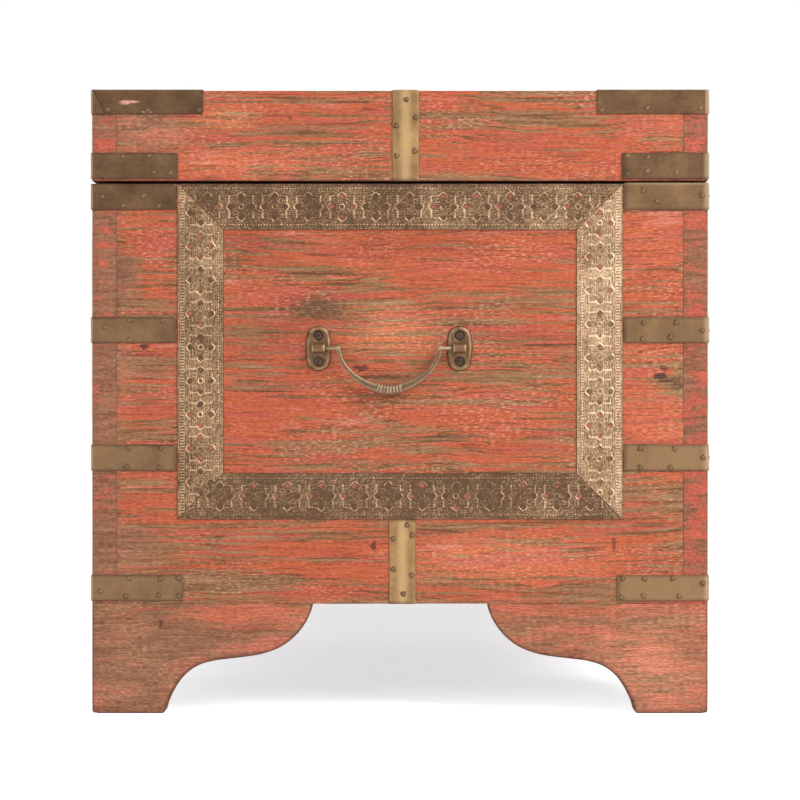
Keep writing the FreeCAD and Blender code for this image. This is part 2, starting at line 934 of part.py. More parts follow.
def knuckle_spans(first):
    """Spans along X of every second knuckle, from the first or second."""
    pitch = hinge_length / hinge_knuckle_count
    start = (hinge_knuckle_gap - hinge_length) / 2
    length = pitch - hinge_knuckle_gap
    places = [start + pitch * index for index in range(first, hinge_knuckle_count, 2)]
    return [(place, place + length) for place in places]


def hinge_leaf(up, first):
    """A leaf with its knuckles, about a pin along X through the origin; up is 1 for the lid's leaf."""
    near = up * hinge_leaf_clearance / 2
    far = up * lid_gap / 2
    low, high = sorted((near, far))
    plate_front = -hinge_standoff - hinge_leaf_width
    leaf = box_between(
        Vector(-hinge_length / 2, plate_front, low),
        Vector(hinge_length / 2, -hinge_standoff, high),
    )
    additions = []
    for start, end in knuckle_spans(first):
        along = Vector(1, 0, 0)
        additions.append(Part.makeCylinder(hinge_knuckle_radius, end - start, Vector(start, 0, 0), along))
        additions.append(box_between(Vector(start, -hinge_standoff, low), Vector(end, 0, high)))
    leaf = leaf.fuse(additions).removeSplitter()
    bore = Part.makeCylinder(
        hinge_pin_radius + hinge_pin_clearance,
        hinge_length + 2 * overrun,
        Vector(-hinge_length / 2 - overrun, 0, 0),
        Vector(1, 0, 0),
    )
    return leaf.cut(bore)


def make_hinges():
    """Both hinges, the right one first in each node."""
    for node, up, first in (("hinge_body_leaves", -1, 0), ("hinge_lid_leaves", 1, 1)):
        leaf = hinge_leaf(up, first)
        leaves = [leaf.translated(Vector(side * hinge_x, hinge_y, hinge_z)) for side in (1, -1)]
        save(node, cut_where_met(leaves, all_hinge_screws(up, screw_hole)))
    pins = [
        Part.makeCylinder(
            hinge_pin_radius,
            hinge_length,
            Vector(side * hinge_x - hinge_length / 2, hinge_y, hinge_z),
            Vector(1, 0, 0),
        )
        for side in (1, -1)
    ]
    save("hinge_pins", pins)


def make_screws():
    """Screws of the hinges and of the stay, those in the body apart from those in the lid."""
    save("body_screws", all_hinge_screws(-1, screw) + stay_screws(stay_stud(), screw))
    save("lid_screws", all_hinge_screws(1, screw) + stay_screws(stay_pivot(), screw))


# Lid stay, inside the right end

def stay_plate(centre):
    """A plate with clipped corners on the inner face of the right end."""
    long = stay_plate_length / 2
    wide = stay_plate_width / 2
    clip = wide * stay_plate_clip_share
    quarter = [(long, 0), (long, wide - clip), (long - clip, wide), (0, wide)]
    outline = quarter + [(-y, z) for y, z in reversed(quarter[:-1])]
    outline += [(y, -z) for y, z in reversed(outline[1:-1])]
    points = [centre.add(Vector(0, y, z)) for y, z in outline]
    plate = prism(points, Vector(-stay_plate_thickness, 0, 0))
    return cut_where_met([plate], stay_screws(centre, screw_hole))[0]


def stay_depths():
    """Depths from the end's inner face: the bar's two faces, then the heads' two faces."""
    bar_near = stay_plate_thickness + stay_gap
    bar_far = bar_near + stay_bar_thickness
    head = bar_far + stay_gap
    return bar_near, bar_far, head, head + stay_head_height


def headed_pin(centre, start):
    """A pin from a depth inside the end to its round head over the bar."""
    head, tip = stay_depths()[2:]
    profile = [
        (stay_pin_radius, start),
        (stay_pin_radius, head),
        (stay_head_radius, head),
        (stay_head_radius, tip),
    ]
    return faceted(profile, stay_pin_sides, centre, Vector(-1, 0, 0))


def stay_chord(opening_degrees):
    """Distance from pivot to stud when the lid is open by an angle."""
    closed = math.asin(stay_pivot_rise / stay_radius) + math.asin(stay_stud_drop / stay_radius)
    return 2 * stay_radius * math.sin((closed + math.radians(opening_degrees)) / 2)


def make_stay():
    pivot = stay_pivot()
    stud = stay_stud()
    along = stud.sub(pivot).normalize()
    bar_near, bar_far = stay_depths()[:2]
    inward = Vector(-1, 0, 0)
    level = Vector(-bar_near, 0, 0)
    end = pivot.add(Vector(along).multiply(stay_chord(lid_opening_degrees)))
    bar = obround_face(pivot.add(level), end.add(level), stay_bar_width / 2, inward)
    bar = bar.extrude(Vector(bar_near - bar_far, 0, 0))
    cut_start = Vector(overrun, 0, 0)
    cut_path = Vector(-(stay_bar_thickness + 2 * overrun), 0, 0)
    slot_width = stay_pin_radius + stay_slot_clearance
    slot = obround_face(stud.add(level).add(cut_start), end.add(level).add(cut_start), slot_width, inward)
    eye = Part.makeCylinder(
        stay_pin_radius + stay_pin_clearance, cut_path.Length, pivot.add(level).add(cut_start), inward
    )
    save("stay_arm", [bar.cut(slot.extrude(cut_path)).cut(eye)])
    through = Part.makeCylinder(stay_pin_radius + stay_pin_clearance, bar_near, pivot, inward)
    save("stay_lid_bracket", [stay_plate(pivot).cut(through)])
    save("stay_rivet", [headed_pin(pivot, 0)])
    stud_pin = headed_pin(stud, stay_plate_thickness)
    save("stay_body_stud", [stay_plate(stud).fuse(stud_pin).removeSplitter()])


def main():
    os.makedirs("parts", exist_ok=True)
    make_walls()
    make_floor()
    make_feet()
    make_glue_blocks()
    make_lid_rails()
    make_lid_panel()
    make_body_straps()
    make_lid_straps()
    make_centre_straps()
    make_frames()
    make_nails()
    make_handles()
    make_hinges()
    make_screws()
    make_stay()
    for node, shape in built.items():
        print(node, len(shape.Solids), shape.isValid(), round(shape.Volume))


main()
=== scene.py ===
import json
import math
import bmesh
import bpy
import numpy as np
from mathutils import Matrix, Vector, noise


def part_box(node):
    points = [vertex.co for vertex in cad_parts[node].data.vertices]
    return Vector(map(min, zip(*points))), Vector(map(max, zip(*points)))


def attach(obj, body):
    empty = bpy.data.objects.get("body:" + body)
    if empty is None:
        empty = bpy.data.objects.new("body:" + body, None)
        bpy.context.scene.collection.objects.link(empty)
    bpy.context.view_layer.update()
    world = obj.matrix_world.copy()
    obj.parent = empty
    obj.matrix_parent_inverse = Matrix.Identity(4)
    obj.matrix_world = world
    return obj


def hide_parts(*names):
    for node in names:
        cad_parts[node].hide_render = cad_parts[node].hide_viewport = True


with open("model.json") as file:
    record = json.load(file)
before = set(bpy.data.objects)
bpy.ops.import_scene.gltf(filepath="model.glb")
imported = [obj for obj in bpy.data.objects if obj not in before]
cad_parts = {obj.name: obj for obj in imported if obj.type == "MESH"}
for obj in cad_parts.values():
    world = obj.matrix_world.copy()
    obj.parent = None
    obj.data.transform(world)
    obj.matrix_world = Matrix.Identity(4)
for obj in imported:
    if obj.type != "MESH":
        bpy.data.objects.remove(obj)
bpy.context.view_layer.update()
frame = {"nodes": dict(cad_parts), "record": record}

# Places come from the frame and the rest are named values, all in metres.
# Colours are linear.

MM = 0.001

# The photograph: its side in pixels, metres for each pixel, and the pixel row of the body's lower edge
PHOTO_SIDE = 800
PIXEL = 0.0007305
BODY_ROW = 604.0

# Camera, in millimetres
LENS = 98.5
SENSOR = 36.0

# Main planes of the chest, from its middle and from the floor
HALF_LENGTH = 0.450
HALF_DEPTH = 0.225
BODY_LOW = 0.080
BODY_TOP = 0.387
LID_LOW = 0.389
LID_TOP = 0.455
HANDLE_Z = 0.266656

# Thickness of boards, cleats and brass sheet, and width of the slit at a sunk seat's walls
BOARD = 0.018
CLEAT = 0.020
SKIN = 0.0009
SLIT = 0.0002

# Depth of the dips in a board's worn edges
BOARD_WAVE = 0.0003

PAINT_CORAL = (0.505, 0.108, 0.060)
PAINT_ORANGE = (0.515, 0.116, 0.048)
PAINT_SALMON = (0.575, 0.190, 0.118)
PAINT_ROSE = (0.455, 0.098, 0.062)
PAINT_SMEAR = (0.62, 0.30, 0.24)
PAINT_IN_PETALS = (0.44, 0.13, 0.095)
PRIMER = (0.680, 0.415, 0.270)
WOOD_DARK = (0.165, 0.072, 0.034)
WOOD_MID = (0.295, 0.144, 0.067)
WOOD_TAN = (0.395, 0.214, 0.114)
GRAIN_LINE = (0.120, 0.052, 0.025)
# A dark brown for grime, knots and brass spots, and for painted shade in gaps, recesses, folds and along edges;
# and the most of it laid on where grime and painted shade go
GRIME_AND_SHADE = (0.052, 0.027, 0.022)
DIRT_AND_SHADE_SHARE = 0.75
PAINT_SHEEN = 0.16

# Marks in the photograph's pixels: column, row, half width, half height and strength
KNOTS = (
    (144, 346, 4, 3, 1.0), (142, 355, 22, 1.2, 0.5), (661, 376, 7, 4, 1.0), (666, 381, 8, 1.6, 0.9),
    (677, 383, 6, 8, 0.50), (374, 546, 3, 5, 0.9), (664, 368, 4, 3, 0.7), (161, 624, 2, 5, 0.8),
    (614, 544, 2, 7, 0.7), (361, 368, 8, 3.5, 0.8), (380, 377, 28, 2, 0.7), (640, 352, 3, 2, 0.6),
    (232, 357, 8, 1.5, 0.5), (318, 309, 26, 11, 0.35), (290, 118, 3, 2, 0.5), (366, 109, 4, 2, 0.6),
    (578, 108, 4, 2, 0.5),
)
WORN = (
    (104, 390, 14, 200, 0.9), (125, 655, 80, 55, 1.0), (205, 640, 45, 20, 0.5), (122, 545, 58, 30, 0.8),
    (235, 586, 65, 15, 0.8), (122, 276, 20, 30, 0.9), (140, 375, 42, 30, 0.5), (140, 432, 45, 14, 0.5),
    (318, 309, 24, 12, 1.0), (250, 335, 26, 30, 0.5), (250, 385, 40, 16, 0.5), (520, 372, 60, 26, 0.5),
    (380, 437, 80, 12, 0.5), (250, 420, 30, 26, -0.5), (280, 550, 90, 22, 0.25), (270, 290, 60, 12, -0.6),
    (674, 382, 22, 12, 0.9), (679, 383, 8, 10, 1.6), (697, 265, 12, 32, 0.7), (585, 590, 62, 15, 0.8),
    (645, 625, 50, 14, 0.3), (150, 130, 52, 24, 0.5), (255, 108, 80, 10, 0.2), (480, 130, 60, 7, 0.4),
    (330, 245, 90, 9, 0.5), (480, 275, 92, 22, -0.6), (300, 415, 72, 14, -0.5), (500, 440, 70, 20, -0.45),
    (650, 240, 30, 30, -0.7), (660, 350, 30, 12, -0.6), (640, 425, 42, 20, -0.5), (245, 616, 52, 12, -0.9),
    (255, 550, 62, 14, -0.2), (500, 560, 80, 13, -0.4), (440, 100, 20, 9, -0.8), (500, 160, 80, 12, -0.6),
    (260, 160, 80, 14, -0.4), (150, 240, 22, 22, -0.4), (640, 680, 60, 26, 0.25),
)
PALE = (
    (395, 330, 55, 26, 1.0), (228, 118, 34, 14, 0.9), (660, 125, 40, 24, 0.4), (500, 400, 60, 20, 0.2),
    (262, 350, 40, 50, -0.35), (500, 560, 110, 26, 0.9), (660, 420, 42, 80, 0.4), (650, 240, 30, 30, 0.35),
    (650, 660, 60, 60, 0.6), (245, 250, 40, 30, -0.6), (420, 245, 90, 14, -0.7), (310, 318, 50, 26, -0.8),
    (115, 272, 26, 34, -0.7), (110, 640, 36, 40, -0.2), (230, 164, 90, 14, 0.7), (125, 660, 40, 46, 0.3),
)
GRIMY = ((94, 672, 26, 62, 0.12), (112, 640, 16, 10, 0.25), (160, 622, 12, 18, 0.30))
MUTED = (
    (148, 132, 40, 26, 1.1), (124, 278, 16, 26, 0.8), (124, 370, 12, 60, 0.5), (122, 545, 50, 26, 0.7),
    (400, 600, 400, 3, 0.3),
)
SMEARS = ((125, 102.5, 5, 1.9, 1.2), (133, 101.8, 6, 1.1, 0.9), (147, 112, 5, 1.2, 0.6))

# The fold line of the back cap on the shown end, painted as a line of shade with painted light on its outer
# side: column and row of its two ends, and half its width in metres
CREASE = ((93.5, 89.5), (105, 113))
CREASE_HALF = 0.0007


def photo_y(column):
    """Y of a column of the photograph on the chest's end."""
    return (PHOTO_SIDE / 2 - column) * PIXEL


def photo_z(row):
    return BODY_LOW + (BODY_ROW - row) * PIXEL


def unit(value):
    return np.clip(value, 0.0, 1.0)


def wobble(*place):
    """Smooth noise from -1 to 1 at a place."""
    return noise.noise(Vector(place))


# Nodes of a material

class Value:
    """An output of a node; numbers among them are added, taken away and multiplied in plain arithmetic."""

    def __init__(self, nodes, socket):
        self.nodes = nodes
        self.socket = socket

    def __add__(self, other):
        return self.nodes.maths("ADD", self, other)

    def __sub__(self, other):
        return self.nodes.maths("SUBTRACT", self, other)

    def __rsub__(self, other):
        return self.nodes.maths("SUBTRACT", other, self)

    def __mul__(self, other):
        return self.nodes.maths("MULTIPLY", self, other)

    __radd__ = __add__
    __rmul__ = __mul__


class Nodes:
    """A node tree under construction: each method adds nodes and gives back a value."""

    def __init__(self, tree, output):
        self.tree = tree
        tree.nodes.clear()
        self.surface = tree.nodes.new(output).inputs["Surface"]

    def plug(self, socket, value):
        if isinstance(value, Value):
            self.tree.links.new(value.socket, socket)
        elif socket.type == "RGBA":
            socket.default_value = (*value, 1.0)
        else:
            socket.default_value = value

    def node(self, kind, output, inputs, **settings):
        """One node with some settings, and with values or constants in some of its inputs."""
        node = self.tree.nodes.new("ShaderNode" + kind)
        for key, setting in settings.items():
            setattr(node, key, setting)
        for key, value in inputs.items():
            self.plug(node.inputs[key], value)
        return Value(self, node.outputs[output])

    def maths(self, operation, first, second=0.0, clamp=False):
        return self.node("Math", 0, {0: first, 1: second}, operation=operation, use_clamp=clamp)

    def vector_maths(self, operation, first, second, output="Vector"):
        return self.node("VectorMath", output, {0: first, 1: second}, operation=operation)

    def by_ray(self, light, seen):
        """The first shader for the rays that light things; the second for those that the camera sends,
        and for those mirrored or let through by a glossy or a clear thing."""
        rays = [self.node("LightPath", f"Is {kind} Ray", {}) for kind in ("Camera", "Glossy", "Transmission")]
        share = self.maths("ADD", self.maths("ADD", rays[0], rays[1], True), rays[2], True)
        return self.node("MixShader", 0, {0: share, 1: light, 2: seen})


class Material(Nodes):
    def __init__(self, name):
        self.made = bpy.data.materials.new(name)
        self.made.use_nodes = True
        super().__init__(self.made.node_tree, "ShaderNodeOutputMaterial")
        self.coords = self.node("TexCoord", "Object", {})

    def noise(self, vector, scales, detail=4.0, roughness=0.6):
        """Noise stretched by a scale for each axis, in features for each metre."""
        inputs = {"Vector": self.vector_maths("MULTIPLY", vector, scales), "Scale": 1.0}
        return self.node("TexNoise", "Fac", {**inputs, "Detail": detail, "Roughness": roughness})

    def between(self, value, low, high):
        """0 below low, 1 above high, smooth between; low may be the larger."""
        inputs = {"Value": value, "From Min": low, "From Max": high}
        return self.node("MapRange", "Result", inputs, interpolation_type="SMOOTHSTEP")

    def mix(self, share, first, second, blend="MIX"):
        return self.node("Mix", 2, {0: share, 6: first, 7: second}, data_type="RGBA", blend_type=blend)

    def shaded(self, colour, shade):
        return self.mix(1.0, colour, shade, "MULTIPLY")

    def ramp(self, value, *stops):
        """The colour at a value, between stops of a place and a colour."""
        node = self.tree.nodes.new("ShaderNodeValToRGB")
        elements = node.color_ramp.elements
        while len(elements) < len(stops):
            elements.new(1.0)
        for element, (place, colour) in zip(elements, stops):
            element.position = place
            element.color = (*colour, 1.0)
        self.plug(node.inputs[0], value)
        return Value(self, node.outputs["Color"])

    def attribute(self, name):
        return self.node("Attribute", "Fac", {}, attribute_name=name)

    def finish(self, colour, roughness, height, depth, metallic=0.0, specular=0.5):
        bump = self.node("Bump", "Normal", {"Strength": 1.0, "Distance": depth, "Height": height})
        inputs = {"Base Color": colour, "Roughness": roughness, "Metallic": metallic, "Normal": bump}
        self.plug(self.surface, self.node("BsdfPrincipled", 0, {**inputs, "Specular IOR Level": specular}))
        return self.made


def along(grain, lengthwise, across):
    """Noise scales with one value along the grain's axis and another across it."""
    return tuple(lengthwise if axis == grain else across for axis in range(3))


def wavy(g, grain):
    """Coordinates whose lines wander a little across the grain, as growth rings do."""
    lift = g.noise(g.coords, along(grain, 5.0, 14.0), 2.0, 0.5)
    ripple = g.noise(g.coords, along(grain, 22.0, 60.0), 2.0, 0.5)
    swing = 0.018 * lift + 0.004 * ripple
    shift = g.node("CombineXYZ", 0, {axis: swing for axis in range(3) if axis != grain})
    return g.vector_maths("ADD", g.coords, shift)


def knots(g):
    """1 inside the small dark knots of the end that the photograph shows, with uneven edges."""
    uneven = 2.2 * (g.noise(g.coords, (260.0, 260.0, 420.0), 3.0) - 0.5)
    total = 0.0
    for column, row, wide, high, strength in KNOTS:
        centre = (-HALF_LENGTH, photo_y(column), photo_z(row))
        scales = (100.0, 1.0 / (wide * PIXEL), 1.0 / (high * PIXEL))
        from_centre = g.vector_maths("SUBTRACT", g.coords, centre)
        scaled = g.vector_maths("MULTIPLY", from_centre, scales)
        size = g.vector_maths("LENGTH", scaled, (0.0, 0.0, 0.0), "Value")
        total = g.maths("MAXIMUM", total, strength * g.between(size + uneven, 1.20, 0.70))
    return total


def painted_wood(name, grain):
    """Coral paint rubbed thin along the grain, over brown wood and a pale primer."""
    g = Material(name)
    place = wavy(g, grain)
    streak = g.noise(place, along(grain, 7.0, 360.0))
    fine = g.noise(place, along(grain, 34.0, 980.0), 3.0)
    patch = g.noise(place, along(grain, 5.0, 26.0), 3.0, 0.55)
    speck = g.noise(g.coords, along(grain, 260.0, 900.0), 3.0, 0.65)
    wear, pale, muted, dirt = (g.attribute(key) for key in ("wear", "pale", "muted", "dirt"))

    paint = g.between(0.64 * streak + 0.24 * fine + 0.30 * patch + 0.14 * speck - 0.12 * wear, 0.598, 0.676)
    paint_colour = g.ramp(
        g.noise(place, along(grain, 9.0, 75.0)),
        (0.34, PAINT_ROSE), (0.45, PAINT_CORAL), (0.53, PAINT_ORANGE),
        (0.60, PAINT_CORAL), (0.70, PAINT_SALMON),
    )
    rings = g.noise(place, along(grain, 12.0, 420.0), 5.0, 0.62)
    wood_colour = g.ramp(rings, (0.34, WOOD_DARK), (0.48, WOOD_MID), (0.68, WOOD_TAN))
    colour = g.mix(paint, wood_colour, paint_colour)

    blotch = g.noise(place, along(grain, 26.0, 95.0), 5.0, 0.62)
    blotch = blotch + (0.28 * speck + 0.28 * fine - 0.28) - 0.110 * wear
    muted_colour = g.ramp(
        blotch, (0.36, (0.285, 0.122, 0.074)), (0.47, (0.385, 0.172, 0.098)),
        (0.53, (0.490, 0.160, 0.094)), (0.64, (0.590, 0.195, 0.125)),
    )
    colour = g.mix(muted, colour, muted_colour)
    plain = 1.0 - 0.75 * muted

    light = 0.60 * speck + 0.40 * fine
    shade = g.ramp(light, (0.38, (0.72, 0.64, 0.60)), (0.50, (0.98, 0.98, 0.98)), (0.62, (1.18, 1.38, 1.46)))
    colour = g.shaded(g.shaded(colour, shade), 1.0 + 0.28 * pale)
    colour = g.mix(pale, colour, g.shaded(colour, (1.0, 1.20, 1.18)))
    pale_area = g.between(g.noise(place, along(grain, 12.0, 36.0), 3.0), 0.46, 0.62)
    flecks = g.between(speck, 0.535, 0.640) * g.maths("MAXIMUM", pale_area, pale, True) * plain
    colour = g.mix(0.50 * flecks, colour, PRIMER)
    lines = g.between(g.noise(place, along(grain, 10.0, 800.0), 4.0, 0.58), 0.415, 0.350) * plain
    colour = g.mix(0.62 * lines, colour, GRAIN_LINE)
    if grain == 1:
        colour = g.mix(0.85 * knots(g), colour, GRIME_AND_SHADE)
    # Grime at worn edges, joints and low on the feet, and painted shade on the rims in the gap under the lid
    colour = g.mix(DIRT_AND_SHADE_SHARE * dirt, colour, GRIME_AND_SHADE)
    height = 0.40 * paint + 0.8 * light - 0.5 * lines
    return g.finish(colour, 0.84 - 0.16 * paint, height, 0.00022, specular=PAINT_SHEEN)


def painted_end_grain(name):
    """Paint rubbed thin over end grain: soft blotches, short ticks and a duller colour."""
    g = Material(name)
    blot = g.noise(g.coords, (40.0, 38.0, 90.0), 5.0)
    tick = g.noise(g.coords, (500.0, 300.0, 620.0), 4.0, 0.62)
    ring = g.noise(g.coords, (60.0, 40.0, 330.0))
    paint = g.between(0.60 * blot + 0.18 * tick + 0.34 * ring - 0.12 * g.attribute("wear"), 0.480, 0.590)
    painted = g.ramp(
        blot, (0.36, (0.39, 0.093, 0.061)), (0.54, (0.47, 0.104, 0.064)), (0.68, (0.54, 0.130, 0.078))
    )
    rubbed = g.ramp(
        ring, (0.34, (0.21, 0.086, 0.047)), (0.52, (0.30, 0.130, 0.072)), (0.68, (0.37, 0.176, 0.105))
    )
    shade = g.ramp(tick, (0.36, (0.76, 0.74, 0.74)), (0.50, (1.0, 1.0, 1.0)), (0.64, (1.22, 1.26, 1.30)))
    colour = g.shaded(g.mix(paint, rubbed, painted), shade)
    # Grime at worn edges and joints, and painted shade on the rims in the gap under the lid
    colour = g.mix(DIRT_AND_SHADE_SHARE * g.attribute("dirt"), colour, GRIME_AND_SHADE)
    return g.finish(colour, 0.8, tick, 0.0002, specular=PAINT_SHEEN)


def bare_wood(name, grain):
    g = Material(name)
    place = wavy(g, grain)
    rings = g.noise(place, along(grain, 5.0, 90.0), 5.0)
    fine = g.noise(place, along(grain, 30.0, 900.0))
    colour = g.ramp(
        rings, (0.34, (0.200, 0.108, 0.054)), (0.50, (0.270, 0.150, 0.075)), (0.66, (0.340, 0.200, 0.106))
    )
    shade = g.ramp(fine, (0.34, (0.74, 0.74, 0.74)), (0.60, (1.05, 1.05, 1.05)))
    return g.finish(g.shaded(colour, shade), 0.8, fine, 0.0003)


def strap_brass(name, dull, bright, grain=1, mottle=42.0):
    """Antique sheet brass: cloudy tarnish, faint rolling lines, spots, edges both rubbed and given painted
    highlights, and grime with painted shade.
    """
    g = Material(name)
    cloud = g.noise(g.coords, (mottle,) * 3, 5.0)
    lines = g.noise(g.coords, along(grain, 70.0, 900.0), 3.0)
    spots = g.noise(g.coords, (420.0,) * 3, 3.0)
    darker = [value * 0.62 for value in dull]
    lighter = [value * lift for value, lift in zip(dull, (1.98, 2.14, 2.10))]
    # A higher tone makes brass paler; at the front of the straps and beyond the back cap's fold line that
    # paleness is painted light
    level = cloud + 0.35 * (spots - 0.5) + 0.20 * g.attribute("tone")
    colour = g.ramp(level, (0.28, darker), (0.50, dull), (1.00, lighter))
    colour = g.mix(0.09 * g.between(lines, 0.42, 0.66), colour, lighter)
    colour = g.mix(0.45 * g.between(spots, 0.66, 0.76), colour, GRIME_AND_SHADE)
    # Rubbed brass and painted highlights: corners and folds of straps, their raised middles, nail tops, plate
    # rims, the boss and the bail's flanks
    colour = g.mix(0.60 * g.attribute("edge"), colour, bright)
    colour = g.mix(g.attribute("paint") * g.between(spots, 0.24, 0.42), colour, PAINT_SMEAR)
    # Grime with painted shade at edges and in gaps, countersinks and slots, and a painted dark reflection down
    # the bail's middle
    colour = g.mix(DIRT_AND_SHADE_SHARE * g.attribute("dirt"), colour, GRIME_AND_SHADE)
    return g.finish(colour, 0.42 + 0.25 * cloud, 0.5 * cloud + 0.10 * lines, 0.0004, 0.85)


def embossed_brass(name, low, middle, high):
    """Stamped brass: dark in the hollows as patina and painted shade, bright on what stands proud as a painted
    highlight, red paint left in some petals.
    """
    g = Material(name)
    grit = g.noise(g.coords, (760.0,) * 3, 3.0, 0.65)
    cloud = g.noise(g.coords, (26.0,) * 3)
    # The relief's height sets the colour: painted shade low and painted highlights high; the tone adds painted
    # light on the strips by the key lamp
    level = 0.56 * g.attribute("relief") + (grit - 0.5) + 0.018
    level = level + 0.60 * (cloud - 0.5) + 0.40 * (g.attribute("tone") - 0.5)
    colour = g.ramp(level, (0.06, low), (0.39, middle), (0.76, high))
    red = g.attribute("paint") * g.between(grit, 0.36, 0.50)
    colour = g.mix(0.70 * red, colour, PAINT_IN_PETALS)
    # Grime with painted shade along the strips' edges, and a painted shadow along the top strip's outer edge
    colour = g.mix(0.9 * g.attribute("dirt"), colour, GRIME_AND_SHADE)
    return g.finish(colour, 0.42, grit, 0.00018, 0.75)


# Meshes

def spread(value, things):
    """One value for each thing, from such a list or from a single value."""
    return value if hasattr(value, "__len__") else [value] * len(things)


class Pile:
    """Vertices, faces and vertex numbers of several forms that make one piece."""

    def __init__(self):
        self.vertices = []
        self.faces = []
        self.indices = []
        self.values = {}

    def add(self, vertices, faces, material=0, **values):
        start = len(self.vertices)
        self.vertices.extend(tuple(v) for v in vertices)
        self.faces.extend(tuple(i + start for i in face) for face in faces)
        self.indices.extend(spread(material, faces))
        for key in {**self.values, **values}:
            column = self.values.setdefault(key, [0.0] * start)
            column.extend(spread(values.get(key, 0.0), vertices))

    def build(self, name, materials, body, node):
        """The piece as an object that rides on a CAD body and stands in for a CAD node."""
        mesh = bpy.data.meshes.new(name)
        mesh.from_pydata(self.vertices, [], self.faces)
        for key, values in self.values.items():
            layer = mesh.attributes.new(key, "FLOAT", "POINT")
            layer.data.foreach_set("value", np.asarray(values, np.float32))
        for material in materials:
            mesh.materials.append(material)
        mesh.polygons.foreach_set("material_index", np.asarray(self.indices, np.int32))
        mesh.polygons.foreach_set("use_smooth", np.full(len(mesh.polygons), True))
        mesh.update()
        piece = bpy.data.objects.new(name, mesh)
        bpy.context.scene.collection.objects.link(piece)
        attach(piece, body)
        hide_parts(node)


def grid_faces(rows, columns, closed=False):
    """Faces of a grid of vertices, given row by row; in a closed one the last column meets the first."""
    faces = []
    for near in range(0, (rows - 1) * columns, columns):
        far = near + columns
        for column in range(columns if closed else columns - 1):
            following = (column + 1) % columns
            faces.append((near + column, near + following, far + following, far + column))
    return faces


def sheet_faces(rows, columns):
    """Faces of a bent sheet: a grid along it and one face at each end."""
    last = (rows - 1) * columns
    return [*grid_faces(rows, columns), tuple(range(columns)), tuple(range(last, last + columns))[::-1]]


def circle(count):
    """Angles evenly round a circle."""
    return [2 * math.pi * step / count for step in range(count)]


def facing(outward):
    """An outward direction and two at right angles to it and to each other."""
    outward = Vector(outward).normalized()
    side = outward.orthogonal().normalized()
    return outward, side, outward.cross(side)


def breaks(low, high, radius, cell):
    """Places of grid lines: close together at the rounded edges, a cell apart between."""
    count = max(1, round((high - low - 2 * radius) / cell))
    inner = np.linspace(low + radius, high - radius, count + 1)
    rim = np.array([0.0, 0.3, 0.65]) * radius
    return np.concatenate([low + rim, inner, high - rim[::-1]])


def box_grid(lines):
    """Points on a box's skin where grid lines of its three axes meet, its faces and the axis of each."""
    numbers = {}
    faces = []
    axes = []
    for axis in range(3):
        first, second = [(1, 2), (2, 0), (0, 1)][axis]
        for side in (0, len(lines[axis]) - 1):
            for i in range(len(lines[first]) - 1):
                for j in range(len(lines[second]) - 1):
                    corners = []
                    for di, dj in ((0, 0), (1, 0), (1, 1), (0, 1)):
                        key = [side] * 3
                        key[first] = i + di
                        key[second] = j + dj
                        corners.append(numbers.setdefault(tuple(key), len(numbers)))
                    faces.append(tuple(corners if side else corners[::-1]))
                    axes.append(axis)
    points = np.array([[line[place] for line, place in zip(lines, key)] for key in numbers])
    return points, faces, axes


def soft_box(low, high, radius, cell, seed, extras):
    """A box with worn, uneven round edges: vertices, faces, the axis of each face, closeness to an edge."""
    low, high = np.array(low), np.array(high)
    lines = [breaks(low[axis], high[axis], radius, cell[axis]) for axis in range(3)]
    lines = [np.unique(np.concatenate([line, extra])) for line, extra in zip(lines, extras)]
    points, faces, axes = box_grid(lines)
    worn = np.array([wobble(*(p * 45 + seed)) for p in points])
    reach = radius * (0.75 + 0.5 * worn)[:, None]
    core = np.clip(points, low + reach, high - reach)
    away = points - core
    length = np.maximum(np.linalg.norm(away, axis=1)[:, None], 1e-9)
    dip = np.array([abs(wobble(*(p * 9 + seed))) for p in points])[:, None]
    moved = core + away * np.minimum(1.0, reach / length) - away / length * dip * BOARD_WAVE
    distance = np.sort(np.minimum(points - low, high - points), axis=1)[:, 1]
    return moved, faces, axes, unit(1.0 - distance / (radius * 1.6))


def loose_boxes(node):
    """Lowest and highest corner and all vertices of each separate solid of a CAD node."""
    mesh = bmesh.new()
    mesh.from_mesh(frame["nodes"][node].data)
    bmesh.ops.remove_doubles(mesh, verts=mesh.verts, dist=0.01 * MM)
    seen = set()
    boxes = []
    for start in mesh.verts:
        if start in seen:
            continue
        group = [start]
        seen.add(start)
        for vertex in group:
            for edge in vertex.link_edges:
                other = edge.other_vert(vertex)
                if other not in seen:
                    seen.add(other)
                    group.append(other)
        places = np.array([vertex.co for vertex in group])
        boxes.append((places.min(0), places.max(0), places))
    mesh.free()
    return boxes


# Wood

# Cuts of boards: the radius of their edges, their grid cell, and the axis that their end grain faces
WALL = (0.0005, (0.012, 0.006, 0.006), 0)
PANEL = (0.0003, (0.006, 0.003, 0.003), None)
FLOOR = (0.0008, (0.03, 0.012, 0.006), 0)
LONG_CLEAT = (0.0006, (0.03, 0.01, 0.01), None)
SHORT_CLEAT = (0.0006, (0.01, 0.03, 0.01), None)
LONG_RAIL = (0.0005, (0.012, 0.0045, 0.005), 0)
SHORT_RAIL = (0.0003, (0.0045, 0.003, 0.003), None)
LID_PLANK = (0.0009, (0.012, 0.006, 0.005), 0)

# The seat in the lid's rails: its half length and half depth and the height of its shelf
SEAT = (HALF_LENGTH - 0.009, HALF_DEPTH - 0.009, LID_TOP - 0.015)


